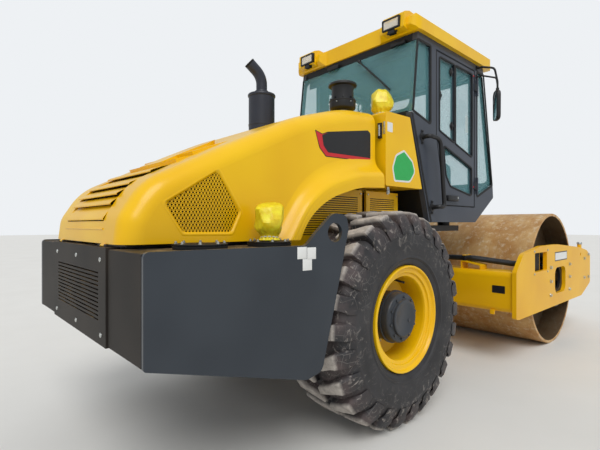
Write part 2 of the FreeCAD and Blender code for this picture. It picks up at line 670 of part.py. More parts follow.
def rear_grille():
    """Bolted plate in the middle of the tail, with a band of cooling slots and a turned-in top lip."""
    front = REAR_FACE_X - GRILLE_PROUD
    face = box(front, front + GRILLE_THICK, -GRILLE_HALF, GRILLE_HALF, GRILLE_BOTTOM, DECK_Z)
    lip = box(REAR_FACE_X, REAR_FACE_X + 62, -GRILLE_HALF, GRILLE_HALF, DECK_Z - 12, DECK_Z)
    foot = box(REAR_FACE_X, REAR_FACE_X + 62, -GRILLE_HALF, GRILLE_HALF, GRILLE_BOTTOM, GRILLE_BOTTOM + 14)
    step = (SLOT_HIGH - SLOT_LOW) / (SLOT_COUNT - 1)
    slots = []
    for i in range(SLOT_COUNT):
        z = SLOT_LOW + step * i
        low, high = z - SLOT_HEIGHT / 2, z + SLOT_HEIGHT / 2
        slots.append(box(REAR_FACE_X - 50, REAR_FACE_X + 50, -SLOT_HALF, SLOT_HALF, low, high))
    knuckles = []
    for y in HINGE_PLACES:
        for offset in (-60, 30):
            knuckles.append(crossbar(HINGE_X, HINGE_Z, y + offset, y + offset + 30, HINGE_RADIUS))
            knuckles.append(box(HINGE_X - 7, HINGE_X + 7, y + offset, y + offset + 30, DECK_Z - 1, HINGE_Z))
        knuckles.append(crossbar(HINGE_X, HINGE_Z, y - 60, y + 60, HINGE_PIN))
    return joined([face, lip, foot] + knuckles).cut(slots)


def deck():
    """Deck plate behind and beside the hood, level with the wings."""
    return box(REAR_FACE_X + 62.5, TANK_FRONT_X, -TANK_IN_Y + 0.5, TANK_IN_Y - 0.5, RAIL_TOP, DECK_Z)


def deck_hatches():
    discs = []
    for x, y, radius in HATCHES:
        disc = post(x, y, DECK_Z - 8, DECK_Z - 8 + HATCH_HEIGHT, radius)
        collar = post(x, y, DECK_Z - 9 + HATCH_HEIGHT, DECK_Z - 3 + HATCH_HEIGHT, radius - 14)
        plain = joined([disc, collar])
        right = mirrored(plain)
        if (x, -y) == FILLER_PLACE:
            right = right.fuse(post(x, -y, DECK_Z, FILLER_TOP, 42))
        discs += [plain, right]
    return bundle(discs)


def engine_block():
    foot = TYRE_RADIUS + ENGINE_OVER_AXLE
    engine = slab_y([
        (-700, foot, 0), (260, foot, 0), (260, foot + 690, 60), (-700, foot + 750, 60),
    ], -290, 290)
    radiator = box(-1330, -1190, -400, 400, DECK_Z, 1620)
    half = RAIL_Y - RAIL_THICK / 2
    bearers = box(-640, 200, -half, half, foot + 60, foot + 120)
    return bundle([joined([engine, bearers]), radiator])


def engine_side_panels():
    """Louvred panels under the fender arch, two on each side."""
    pieces = []
    for x0, x1 in ((-690, 143), (196, 640)):
        top = 2 * TYRE_RADIUS + 178
        panel = box(x0, x1, 520, 540, RAIL_TOP + 2, top)
        foot = box(x0, x1, RAIL_Y + RAIL_THICK / 2, 540, RAIL_TOP - 20, RAIL_TOP + 3)
        slots = []
        pitch = (top - RAIL_TOP - 100) / PANEL_SLOTS
        for i in range(PANEL_SLOTS):
            z = RAIL_TOP + 52 + pitch * i
            slots.append(box(x0 + 50, x1 - 50, 530, 541, z, z + 0.42 * pitch))
        pieces += pair(joined([panel, foot]).cut(slots))
    return bundle(pieces)


def bulkhead_box():
    """Oil tank across the machine between the hood and the cab."""
    (foot_x, foot_z), (back_x, back_z) = CAB_SIDE[0][:2], CAB_SIDE[-1][:2]
    slope = (foot_x - back_x) / (back_z - foot_z)
    top = 2288.0
    low = 2 * TYRE_RADIUS + 212
    top_x = back_x + slope * (back_z - top) - OIL_TANK_GAP
    low_x = back_x + slope * (back_z - low) - OIL_TANK_GAP
    body = slab_y([
        (216, low, 12), (216, top, 25), (top_x, top + 6, 10), (low_x, low, 10),
    ], -CAB_HALF + 2, CAB_HALF - 2)
    stand = box(300, 700, -380, 380, PLATFORM_TOP, low + 1)
    neck = post(BREATHER_PLACE[0], BREATHER_PLACE[1], top - 5, BREATHER_TOP, 48)
    return joined([body, stand, neck])


# Hood

def hood_body(inset):
    """Solid of the hood, drawn in by inset on every side."""
    rows = []
    for i, (x, z, radius) in enumerate(HOOD_PROFILE):
        before = HOOD_PROFILE[max(i - 1, 0)]
        after = HOOD_PROFILE[min(i + 1, len(HOOD_PROFILE) - 1)]
        run = Vector(after[0] - before[0], 0, after[1] - before[1]).normalize()
        rows.append((x + run.z * inset, z - run.x * inset, max(radius - inset, 0)))
    front = HOOD_FRONT_X + (50 if inset else 0)
    bottom = HOOD_BOTTOM - (60 if inset else 0)
    rows[0] = (rows[0][0], bottom, 0)
    rows[-1] = (front, rows[-1][1], 0)
    rows.append((front, bottom, 0))
    half = HOOD_HALF - inset
    body = slab_y(rows, -half, half)
    shoulder = max(HOOD_SHOULDER - inset, 20)
    edges = []
    for edge in body.Edges:
        ends = [vertex.Point for vertex in edge.Vertexes]
        flat = all(abs(abs(p.y) - half) < 1e-3 for p in ends) and ends[0].y * ends[-1].y > 0
        on_floor = all(abs(p.z - bottom) < 1e-3 for p in ends)
        on_front = all(abs(p.x - front) < 1e-3 for p in ends)
        if flat and not on_floor and not on_front:
            edges.append(edge)
    return body.makeFillet(shoulder, edges)


def arch_cut(y0, y1, grow=0.0):
    lip = [Vector(x, 0, z + grow) for x, z in ARCH_LIP]
    lip[0] = lip[0] - Vector(grow, 0, grow + 100)
    lip[-1] = lip[-1] + Vector(200, 0, 0)
    rows = [(p.x, p.z, 950 if 0 < i < len(lip) - 1 else 0) for i, p in enumerate(lip)]
    rows.append((lip[-1].x, lip[0].z, 0))
    return slab_y(rows, y0, y1)


def on_back(x, proud=0.0):
    """Point on the sloping back of the hood, or square off it by proud."""
    runs = list(zip(HOOD_PROFILE[2:], HOOD_PROFILE[3:]))
    for low, high in runs:
        if x <= high[0]:
            break
    run = Vector(high[0] - low[0], 0, high[1] - low[1])
    z = low[1] + run.z * (x - low[0]) / run.x
    run.normalize()
    return (x - run.z * proud, z + run.x * proud, 0)


def hood_steps():
    """Two wedge steps across the back of the hood and the ridge that runs up from the slats between them."""
    steps = []
    for start, end in STEPS:
        rows = [on_back(start, STEP_PROUD), on_back(end), on_back(end, -10), on_back(start, -10)]
        steps.append(slab_y(rows, -LOUVRE_HALF, LOUVRE_HALF))
    start = STEPS[0][0]
    bend = HOOD_PROFILE[3][0]
    rows = [on_back(x, RIDGE_PROUD) for x in (start, bend, RIDGE_END_X)]
    rows += [on_back(x, -10) for x in (RIDGE_END_X, bend, start)]
    ridge = slab_y(rows, -RIDGE_HALF, RIDGE_HALF)
    plan = slab_z([
        (start - 60, -RIDGE_HALF, 0), (RIDGE_END_X, -RIDGE_HALF, 110), (RIDGE_END_X, RIDGE_HALF, 110),
        (start - 60, RIDGE_HALF, 0),
    ], 1600, 2200)
    return steps + [ridge.common(plan)]


def hood_shell():
    """One-piece hood with flared fender arches, open behind the slats, at the mesh and underneath."""
    shell = hood_body(0.0).fuse(hood_steps())
    band = []
    for side in (1, -1):
        y0, y1 = sorted((side * (HOOD_HALF - 90), side * (HOOD_HALF + ARCH_FLARE)))
        outer = arch_cut(y0, y1, ARCH_BAND)
        outer = outer.common(box(-2000, HOOD_FRONT_X, -900, 900, HOOD_BOTTOM, 2200))
        rim_edges = []
        for edge in outer.Edges:
            ends = [vertex.Point for vertex in edge.Vertexes]
            if all(abs(p.y - side * (HOOD_HALF + ARCH_FLARE)) < 1e-3 for p in ends):
                floor = all(abs(p.z - HOOD_BOTTOM) < 1e-3 for p in ends)
                front = all(abs(p.x - HOOD_FRONT_X) < 1e-3 for p in ends)
                if not floor and not front:
                    rim_edges.append(edge)
        band.append(outer.makeFillet(60, rim_edges))
    shell = shell.fuse(band)
    shell = shell.cut([hood_body(HOOD_WALL), arch_cut(-900, 900)])
    knuckles = []
    bores = []
    for y in HINGE_PLACES:
        knuckles.append(crossbar(HINGE_X, HINGE_Z, y - 29, y + 29, HINGE_RADIUS))
        knuckles.append(box(HINGE_X, HINGE_X + 18, y - 29, y + 29, HINGE_Z + 2, HOOD_BOTTOM + 3))
        bores.append(crossbar(HINGE_X, HINGE_Z, y - 40, y + 40, HINGE_PIN + RUN_GAP))
    return shell.fuse(knuckles).cut(bores)


def hood_shell_open():
    shell = hood_shell()
    low = LOUVRE_STEPS[0]
    end = STEPS[0][0]
    louvre = slab_y([
        (low[0] - 90, low[1] - 1, 0), (low[0] + 60, low[1] - 1, 0), (low[0] + 145, low[1] + 170, 0),
        on_back(end, -40), on_back(end, STEP_PROUD + 150), (low[0] - 90, low[1] + 500, 0),
    ], -LOUVRE_HALF, LOUVRE_HALF)
    mesh = slab_y(MESH_OUTLINE, -HOOD_HALF - 150, HOOD_HALF + 150)
    stack_hole = post(STACK_PLACE[0], STACK_PLACE[1], 1900, 2500, STACK_RADIUS + SEAT)
    neck_hole = post(CLEANER_PLACE[0], CLEANER_PLACE[1], 2000, 2500, CLEANER_NECK + SEAT)
    return shell.cut([louvre, mesh, stack_hole, neck_hole])


def hood_mesh():
    """Flat panel that fills the side opening, without its fine round holes."""
    return bundle(pair(slab_y(MESH_OUTLINE, HOOD_HALF - HOOD_WALL + 3, HOOD_HALF - 6)))


def hood_louvres():
    """Slats laid like shingles over the sloping back: each stands proud of the one below it."""
    slats = []
    inner = []
    points = [Vector(x, 0, z) for x, z in LOUVRE_STEPS]
    for low, high in zip(points, points[1:]):
        along = (high - low).normalize()
        out = Vector(-along.z, 0, along.x)
        rows = [
            low + out * SLAT_PROUD, high - out * SLAT_DIP, high - out * (SLAT_DIP + SLAT_THICK),
            low + out * (SLAT_PROUD - SLAT_THICK),
        ]
        slats.append(slab_y([(p.x, p.z, 0) for p in rows], -LOUVRE_HALF + SEAT, LOUVRE_HALF - SEAT))
        inner.append((low + along * (20 if low is points[0] else 0), out))
    inner.append((points[-1], out))
    front = [(p.x - out.x * 4, p.z - out.z * 4, 0) for p, out in inner]
    back = [(p.x - out.x * 34, p.z - out.z * 34, 0) for p, out in reversed(inner)]
    posts = [slab_y(front + back, y - 8, y + 8) for y in (-LOUVRE_POST_Y, LOUVRE_POST_Y)]
    return joined(slats + posts)


def exhaust_stack():
    centre = Vector(STACK_PLACE[0], STACK_PLACE[1], 0)
    can = Part.makeCylinder(STACK_RADIUS, 315, centre + Vector(0, 0, 2130), UP)
    pipe = bent_tube([
        (centre.x, centre.y, 2440), (centre.x, centre.y, 2595), (centre.x - 105, centre.y + 26, 2690),
    ], 44, 170)
    collar = Part.makeCylinder(52, 30, centre + Vector(0, 0, 2447), UP)
    return joined([can, pipe, collar])


def pre_cleaner():
    centre = Vector(CLEANER_PLACE[0], CLEANER_PLACE[1], 0)
    profile = [
        (0, 2250), (CLEANER_NECK, 2250), (CLEANER_NECK, 2322), (95, 2322), (108, 2345), (108, 2395), (96, 2410),
        (96, 2490), (112, 2500), (112, 2535), (80, 2552), (0, 2552),
    ]
    wire = rounded_wire([(r, z, 0) for r, z in profile], lambda u, v: Vector(centre.x + u, centre.y, v))
    return Part.Face(wire).revolve(centre, UP, 360)


# Cab

def cab_side(side):
    """Side frame: lower skin, rear post, door post and top rail, with the doorway cut."""
    panel = slab_y(CAB_SIDE, CAB_HALF - CAB_WALL, CAB_HALF)
    outlines = (DOOR_OPENING, QUARTER_WINDOW, CORNER_WINDOW)
    openings = [slab_y(rows, CAB_HALF - CAB_WALL - 1, CAB_HALF + 1) for rows in outlines]
    panel = panel.cut(openings)
    parts = [panel]
    for z in DOOR_HINGES:
        top = z + DOOR_HINGE_TALL
        parts.append(post(DOOR_HINGE_X, DOOR_HINGE_Y, z - 30, top + 30, DOOR_HINGE_PIN))
        for low in (z - 30, top + RUN_GAP):
            high = low + 30 - RUN_GAP
            parts.append(post(DOOR_HINGE_X, DOOR_HINGE_Y, low, high, DOOR_HINGE_RADIUS))
            parts.append(box(DOOR_HINGE_X - 8, DOOR_HINGE_X + 11, CAB_HALF - 1, DOOR_HINGE_Y, low, high))
    panel = joined(parts)
    return panel if side > 0 else mirrored(panel)


def shrunk(corners, gap, centre):
    """The outline drawn in by about gap towards a centre point."""
    rows = []
    for u, v, radius in corners:
        du, dv = math.copysign(gap, u - centre[0]), math.copysign(gap, v - centre[1])
        rows.append((u - du, v - dv, radius))
    return rows


def door(side):
    """Door leaf with its two windows cut, a handle at the rear and hinges at the front post."""
    leaf = slab_y(shrunk(DOOR_OPENING, DOOR_GAP, (1400, 1900)), CAB_HALF - CAB_WALL + 8, CAB_HALF - 2)
    leaf = leaf.cut([
        slab_y(DOOR_WINDOW_UPPER, CAB_HALF - CAB_WALL, CAB_HALF + 1),
        slab_y(DOOR_WINDOW_LOWER, CAB_HALF - CAB_WALL, CAB_HALF + 1),
    ])
    mullion = box(1325, 1350, CAB_HALF - CAB_WALL + 8, CAB_HALF - 2, 2150, 2940)
    handle = box(1190, 1300, CAB_HALF - 3, CAB_HALF + 28, 1625, 1665)
    parts = [leaf, mullion, handle]
    bores = []
    for z in DOOR_HINGES:
        top = z + DOOR_HINGE_TALL
        parts.append(post(DOOR_HINGE_X, DOOR_HINGE_Y, z, top, DOOR_HINGE_RADIUS))
        parts.append(box(1740, DOOR_HINGE_X + 2, CAB_HALF + 3, CAB_HALF + 11, z + 20, z + 90))
        parts.append(box(1738, 1755, CAB_HALF - 4, CAB_HALF + 8, z + 20, z + 90))
        bores.append(post(DOOR_HINGE_X, DOOR_HINGE_Y, z - 1, top + 1, DOOR_HINGE_PIN + RUN_GAP))
    whole = joined(parts).cut(bores)
    return whole if side > 0 else mirrored(whole)


def door_glass(side):
    panes = []
    for outline in (DOOR_WINDOW_UPPER, DOOR_WINDOW_LOWER):
        pane = slab_y(outline, CAB_HALF - 30, CAB_HALF - 30 + GLASS)
        if outline is DOOR_WINDOW_UPPER:
            pane = pane.cut(box(1325, 1350, CAB_HALF - 60, CAB_HALF, 2000, 2990))
        panes.append(pane)
    whole = bundle(panes)
    return whole if side > 0 else mirrored(whole)


def cab_rear():
    """Sloping lower panel behind the seat and the rail over the rear glass."""
    half = CAB_HALF - CAB_WALL
    panel = slab_y([
        (862, CAB_FLOOR_Z, 0), (912, CAB_FLOOR_Z, 0), (650, 2325, 0), (648, 2364, 0), (578, 2364, 0),
        (572, 2325, 0),
    ], -half, half)
    rail = slab_y([
        (676, CAB_TOP_Z, 0), (690, CAB_RAIL_Z, 0), (740, CAB_RAIL_Z, 0), (730, CAB_TOP_Z, 0),
    ], -half, half)
    return bundle([panel, rail])


def cab_front():
    half = CAB_HALF - CAB_WALL
    panel = slab_y([
        (1772, CAB_FLOOR_Z, 0), (2215, 1690, 20), (2200, 1822, 0), (2150, 1822, 0), (2160, 1716, 20),
        (1758, 1467, 0), (1722, CAB_FLOOR_Z, 0),
    ], -half, half)
    rail = slab_y([
        (1964, CAB_RAIL_Z, 0), (1950, CAB_TOP_Z, 0), (1896, CAB_TOP_Z, 0), (1910, CAB_RAIL_Z, 0),
    ], -half, half)
    return bundle([panel, rail])


def cab_base():
    """Cab floor on four rubber mounts that stand on the platform."""
    half = CAB_HALF - CAB_WALL
    top = CAB_FLOOR_Z + CAB_FLOOR_THICK
    floor = slab_y([
        (914, CAB_FLOOR_Z, 0), (1720, CAB_FLOOR_Z, 0), (1741, top, 0), (906, top, 0),
    ], -half, half)
    mounts = [post(x, y, PLATFORM_TOP, CAB_FLOOR_Z + 1, 60) for x in (1000, 1560) for y in (-480, 480)]
    return joined([floor] + mounts)


def cab_glass():
    """Fixed panes: windscreen, rear window, quarter windows and the front corners' windows."""
    half = CAB_HALF - 4
    panes = []
    for (x_low, z_low), (x_high, z_high), inward in (REAR_GLASS + [1], SCREEN_GLASS + [-1]):
        z_low, z_high = z_low + SEAT, z_high - SEAT
        shift = inward * GLASS
        rows = [(x_low, z_low, 0), (x_high, z_high, 0), (x_high + shift, z_high, 0), (x_low + shift, z_low, 0)]
        panes.append(slab_y(rows, -half, half))
    side_y = CAB_HALF - GLASS_INSET
    clear = GLASS + 1
    rear_low, rear_high = REAR_GLASS
    screen_low, screen_high = SCREEN_GLASS
    between = slab_y([
        (rear_low[0] + clear, rear_low[1], 0), (rear_high[0] + clear, rear_high[1], 0),
        (screen_high[0] - clear, screen_high[1], 0), (screen_low[0] - clear, screen_low[1], 0),
        (screen_low[0] - clear, 1400, 0), (rear_low[0] + clear, 1400, 0),
    ], side_y - 1, side_y + GLASS + 1)
    for rows in (QUARTER_WINDOW, CORNER_WINDOW):
        wire = rounded_wire(rows, lambda u, v: Vector(u, side_y, v)).makeOffset2D(-SEAT)
        pane = Part.Face(wire).extrude(Vector(0, GLASS, 0)).common(between)
        panes += pair(pane)
    return bundle(panes)


def roof():
    """Pressed roof with a raised crown, overhanging eaves and two lamp pods at its rear."""
    slab = slab_y([
        (640, CAB_TOP_Z, 0), (585, 3100, 20), (600, 3180, 30), (690, 3222, 60), (1500, 3228, 900),
        (2035, 3180, 60), (2110, 3120, 25), (2085, 3062, 10), (2040, CAB_TOP_Z, 0),
    ], -ROOF_HALF, ROOF_HALF)
    slab = slab.common(slab_z(rectangle(580, 2115, -ROOF_HALF, ROOF_HALF, ROOF_CORNER), 3000, 3300))
    bevel = slab_x([
        (ROOF_HALF - 150, 3260, 0), (ROOF_HALF - 60, 3222, 0), (ROOF_HALF, 3165, 0), (ROOF_HALF + 10, 3165, 0),
        (ROOF_HALF + 10, 3260, 0),
    ], 400, 2200)
    notch = slab_z([(500, -445, 0), (655, -347, 20), (655, 347, 20), (500, 445, 0)], 3000, 3300)
    slab = slab.cut(pair(bevel) + [notch])
    pods = []
    for side in (1, -1):
        y0, y1 = sorted((side * 441, side * 660))
        pod = slab_y([
            (552, 3085, 10), (560, 3215, 20), (640, 3243, 20), (820, 3229, 10), (820, 3075, 0), (640, 3065, 10),
        ], y0, y1)
        recess = box(500, 575, side * 532 - 92, side * 532 + 92, 3092, 3196)
        pods.append(pod.cut(recess))
    holes = [rod((2060, side * 500, 3112), (2200, side * 500, 3112), 46 + SEAT) for side in (1, -1)]
    return joined([slab] + pods).cut(holes)


def roof_lamps():
    lamps = []
    for side in (1, -1):
        lamps.append(box(548, 574.5, side * 532 - 84, side * 532 + 84, 3100, 3188))
        lamps.append(rod((2060 + SEAT, side * 500, 3112), (2112, side * 500, 3112), 46))
    return bundle(lamps)


def cab_rails():
    """Grab rails beside the doors and the two mirrors on their arms."""
    y = CAB_HALF
    rail = bent_tube([
        (742, y, 2156), (742, y + 80, 2156), (900, y + 80, 2150), (956, y + 80, 1552), (905, y + 80, 1548),
        (905, y, 1548),
    ], 18, 45)
    arm = bent_tube([
        (1800, y, 3022), (1800, y + 60, 3022), (1835, y + 170, 2990), (1858, y + 190, 2850),
        (1858, y + 190, 2700),
    ], 9, 40)
    brace = bent_tube([
        (1800, y, 2932), (1800, y + 60, 2932), (1850, y + 182, 2890), (1857, y + 190, 2810),
    ], 8, 30)
    head = box(1838, 1880, y + 120, y + 255, 2450, 2765)
    head = head.makeFillet(16, head.Edges)
    mirror = joined([arm, brace, head])
    pieces = pair(rail) + pair(mirror)
    return bundle(pieces)


def cab_fittings():
    """Seat frame, armrests, console and steering column."""
    floor = CAB_FLOOR_Z + CAB_FLOOR_THICK
    base = box(1080, 1440, -190, 190, floor, SEAT_PAD_Z)
    desk = SEAT_PAD_Z + 220
    console = slab_y([
        (1150, floor, 0), (1560, floor, 0), (1560, desk - 70, 60), (1300, desk, 40), (1150, desk, 20),
    ], -560, -330)
    column = slab_y([(1650, floor, 0), (1738, floor, 0), (1690, desk, 30), (1610, desk - 20, 30)], -60, 60)
    radius = STEERING_WHEEL_RADIUS
    wheel = joined([
        Part.makeTorus(radius, 14, Vector(0, 0, 0), UP), rod((5 - radius, 0, -6), (radius - 5, 0, -6), 10),
        rod((0, 5 - radius, -6), (0, radius - 5, -6), 10), post(0, 0, -60, 5, 30),
    ])
    wheel.rotate(Vector(0, 0, 0), LEFT, -28)
    wheel.translate(Vector(1630, 0, desk + 50))
    return bundle([base, console, joined([column, wheel])])


def seat_cushions():
    top = SEAT_PAD_Z + SEAT_PAD_THICK
    pad = box(1020, 1500, -240, 240, SEAT_PAD_Z + SEAT, top)
    back = slab_y([
        (1010, top - 40, 20), (1110, top + 5, 20), (1040, top + 620, 40), (930, top + 620, 40),
    ], -230, 230)
    back = back.cut(box(900, 1600, -300, 300, top - 140, top + SEAT))
    return bundle([pad, back])


def rain_covers():
    """Yellow bags tied over the breather on the oil tank and the filler on the right deck."""
    bags = []
    for (x, y), z, radius in ((BREATHER_PLACE, BREATHER_TOP, 88), (FILLER_PLACE, FILLER_TOP, 84)):
        outline = [
            (0, z + SEAT, 0), (46, z + SEAT, 8), (radius, z + 70, 30), (radius * 0.96, z + 140, 40),
            (radius * 0.5, z + 190, 30), (0, z + 194, 0),
        ]
        wire = rounded_wire(outline, lambda u, v: Vector(x + u, y, v))
        bags.append(Part.Face(wire).revolve(Vector(x, y, 0), UP, 360))
    return bundle(bags)


def build():
    nodes = {
        "rear_frame": rear_frame(),
        "side_plates": bundle([wing(1), wing(-1)]),
        "tanks": bundle([tank(1), tank(-1)]),
        "rear_grille": rear_grille(),
        "deck": deck(),
        "deck_hatches": deck_hatches(),
        "engine_block": engine_block(),
        "rear_axle": rear_axle(),
        "engine_side_panels": engine_side_panels(),
        "oil_tank": bulkhead_box(),
        "cab_base": cab_base(),
        "cab_side_right": cab_side(-1),
        "cab_side_left": cab_side(1),
        "cab_rear": cab_rear(),
        "cab_front": cab_front(),
        "cab_glass": cab_glass(),
        "roof": roof(),
        "roof_lamps": roof_lamps(),
        "cab_rails": cab_rails(),
        "cab_fittings": cab_fittings(),
        "seat_cushions": seat_cushions(),
        "rain_covers": rain_covers(),
        "hood_shell": hood_shell_open(),
        "hood_mesh": hood_mesh(),
        "hood_louvres": hood_louvres(),
        "exhaust_stack": exhaust_stack(),
        "pre_cleaner": pre_cleaner(),
        "drum_frame": drum_frame(),
        "centre_joint": centre_joint(),
        "drum_carriers": drum_carriers(),
        "scrapers": scrapers(),
        "drum_hoses": drum_hoses(),
        "drum": drum(),
    }
    for side, name in ((1, "left"), (-1, "right")):
        nodes["door_" + name] = door(side)
        nodes["door_glass_" + name] = door_glass(side)
        nodes["tyre_" + name] = tyre(side)
        nodes["rim_" + name] = rim(side)
        nodes["hub_" + name] = hub(side)
        nodes["steer_barrel_" + name] = steer_barrel(side)
        nodes["steer_rod_" + name] = steer_rod(side)
    return nodes


def main():
    os.makedirs("parts", exist_ok=True)
    for name, shape in build().items():
        placed = shape.copy()
        placed.translate(Vector(ORIGIN_SHIFT, 0, 0))
        placed.exportStep("parts/" + name + ".step")
        solids = placed.Solids
        print(name, len(solids), "valid" if placed.isValid() else "BROKEN", round(placed.Volume / 1e6, 2))


main()
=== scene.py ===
# %% [markdown]
# # Dressing a soil compactor
# This lesson starts from the solids of a single-drum road roller and gives them their looks. The solids hold every
# size and every joint, so nothing here moves them. What is added is what paint, rubber, glass, bolts and film do
# for the eye. Lengths are in metres, x runs forward, y to the left and z up from the ground.

# %% Load the solids and note their box
import math
import random

import bpy
from mathutils import Matrix, Vector


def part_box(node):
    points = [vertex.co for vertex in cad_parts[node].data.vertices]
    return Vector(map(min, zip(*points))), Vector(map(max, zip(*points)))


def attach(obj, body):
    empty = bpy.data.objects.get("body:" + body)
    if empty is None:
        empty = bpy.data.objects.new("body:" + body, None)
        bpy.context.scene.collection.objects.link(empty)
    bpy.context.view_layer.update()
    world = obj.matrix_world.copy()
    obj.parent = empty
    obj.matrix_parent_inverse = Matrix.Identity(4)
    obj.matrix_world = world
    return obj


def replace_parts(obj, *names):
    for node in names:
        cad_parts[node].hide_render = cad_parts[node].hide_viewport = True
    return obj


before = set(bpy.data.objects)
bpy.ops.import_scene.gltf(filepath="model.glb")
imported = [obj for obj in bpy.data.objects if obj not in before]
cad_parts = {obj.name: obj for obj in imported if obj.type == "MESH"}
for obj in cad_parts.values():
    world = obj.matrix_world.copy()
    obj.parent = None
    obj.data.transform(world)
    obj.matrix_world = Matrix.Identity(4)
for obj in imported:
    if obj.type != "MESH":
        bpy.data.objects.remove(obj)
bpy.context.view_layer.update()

# %% [markdown]
# The rear axle is the natural zero of the machine, because most sizes are measured from it. Its place is read from
# the tyre's solid, and `at` turns a distance ahead of the axle into the frame's x.

# %% Places read from the solids
tyre_low, tyre_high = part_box("tyre_right")
AXLE_X = (tyre_low.x + tyre_high.x) / 2
AXLE_Z = (tyre_low.z + tyre_high.z) / 2
TYRE_RADIUS = (tyre_high.z - tyre_low.z) / 2
TYRE_Y = (tyre_low.y + tyre_high.y) / 2
drum_low, drum_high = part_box("drum")
DRUM_X = (drum_low.x + drum_high.x) / 2
DRUM_RADIUS = (drum_high.z - drum_low.z) / 2
MM = 0.001


def at(ahead):
    """The frame's x of a place that many metres ahead of the rear axle."""
    return AXLE_X + ahead


print("rear axle at", round(AXLE_X, 4), "drum at", round(DRUM_X, 4))

# %% [markdown]
# The camera comes first, so that every later choice is judged from the right place. It stands low behind the right
# rear corner with a short lens, as a person does who walks up to such a machine with a phone. The lens makes the
# near tyre large and the drum small, and no shift or depth of field is needed.

# %% Camera
CAMERA_AHEAD, CAMERA_Y, CAMERA_Z = -2.462, -2.646, 1.397
CAMERA_TURN, CAMERA_TILT = 47.52, -0.11
LENS_MM, SENSOR_MM = 24.69, 36.0

bpy.ops.object.select_all(action="DESELECT")
bpy.ops.object.camera_add(location=(at(CAMERA_AHEAD), CAMERA_Y, CAMERA_Z))
camera = bpy.context.object
camera.name = "camera"
camera.rotation_euler = (math.radians(90 + CAMERA_TILT), 0, math.radians(CAMERA_TURN - 90))
camera.data.lens = LENS_MM
camera.data.sensor_width = SENSOR_MM
camera.data.clip_start = 0.05
bpy.context.scene.camera = camera
bpy.context.scene.view_settings.view_transform = "Standard"
print("camera at", [round(v, 3) for v in camera.location])

# %% [markdown]
# Paint colours are known as sRGB hex values, but the renderer computes in linear light. One function turns them.
# A second adds a shader node with its settings and its inputs in one line, which keeps each recipe short. A pattern
# is sized by a real length: `per(6)` is the scale at which a noise has grains about 6 mm wide.

# %% Colour, node and scale helpers


def linear(code):
    """Linear RGBA of an sRGB hex colour such as EFAE12."""
    shares = [int(code[i:i + 2], 16) / 255 for i in (0, 2, 4)]
    return [s / 12.92 if s <= 0.04045 else ((s + 0.055) / 1.055) ** 2.4 for s in shares] + [1.0]


def add(tree, kind, settings=None, inputs=None):
    """A new shader node. Inputs are values, or outputs of other nodes to link."""
    made = tree.nodes.new("ShaderNode" + kind)
    for name, value in (settings or {}).items():
        setattr(made, name, value)
    for name, value in (inputs or {}).items():
        if isinstance(value, bpy.types.NodeSocket):
            tree.links.new(value, made.inputs[name])
        else:
            made.inputs[name].default_value = value
    return made


def per(millimetres):
    """Scale of a pattern whose grains are that wide."""
    return 1000.0 / millimetres


def new_material(name):
    """An empty material: its tree, its shader and its Object coordinates."""
    material = bpy.data.materials.new(name)
    material.use_nodes = True
    tree = material.node_tree
    shader = tree.nodes["Principled BSDF"]
    place = add(tree, "TexCoord").outputs["Object"]
    return material, tree, shader, place


def mixed(tree, factor, first, second, blend="MIX"):
    """Colour output between two colours, each a value or an output."""
    made = add(tree, "Mix", {"data_type": "RGBA", "blend_type": blend}, {0: factor, 6: first, 7: second})
    return made.outputs[2]


def ramped(tree, value, low, high, start=0.0, end=1.0):
    """The value's share between low and high, mapped to start and end and held there."""
    made = add(tree, "MapRange", {}, {"Value": value, "From Min": low, "From Max": high, "To Min": start, "To Max": end})
    return made.outputs["Result"]


def noise(tree, place, grain_mm, detail=3.0, roughness=0.55):
    """Grey noise with grains of that width."""
    made = add(tree, "TexNoise", {}, {"Vector": place, "Scale": per(grain_mm), "Detail": detail, "Roughness": roughness})
    return made.outputs["Fac"]


def bumped(tree, height, depth_mm, strength=1.0):
    """Normal output of a bump whose height runs over that depth."""
    made = add(tree, "Bump", {}, {"Height": height, "Distance": depth_mm * MM, "Strength": strength})
    return made.outputs["Normal"]


def maths(tree, operation, first, second=0.0):
    """One step of arithmetic on two values or outputs."""
    return add(tree, "Math", {"operation": operation}, {0: first, 1: second}).outputs[0]


print("yellow in linear light:", [round(c, 3) for c in linear("EFAE12")])
# %% [markdown]
# The stage is a pale floor that runs to the horizon and a soft sky. A large overcast sky lights such a yard, so the
# world does most of the work, with one wide lamp high on the right to give the paint its highlights. The floor and
# the sky are pale by their own colour and not by more light, so the paints render about as they are written.

# %% Floor, sky and lamps
SKY_LIGHT = 0.72
SUN_POWER = 1.5
FLOOR_HALF = 60.0

bpy.ops.mesh.primitive_plane_add(size=2 * FLOOR_HALF, location=(0, 0, 0))
floor = bpy.context.object
floor.name = "floor"
material, tree, shader, place = new_material("pale_concrete")
shade = mixed(tree, noise(tree, place, 900, 4), linear("DAD8D2"), linear("E4E2DD"))
tree.links.new(shade, shader.inputs["Base Color"])
shader.inputs["Roughness"].default_value = 0.9
floor.data.materials.append(material)

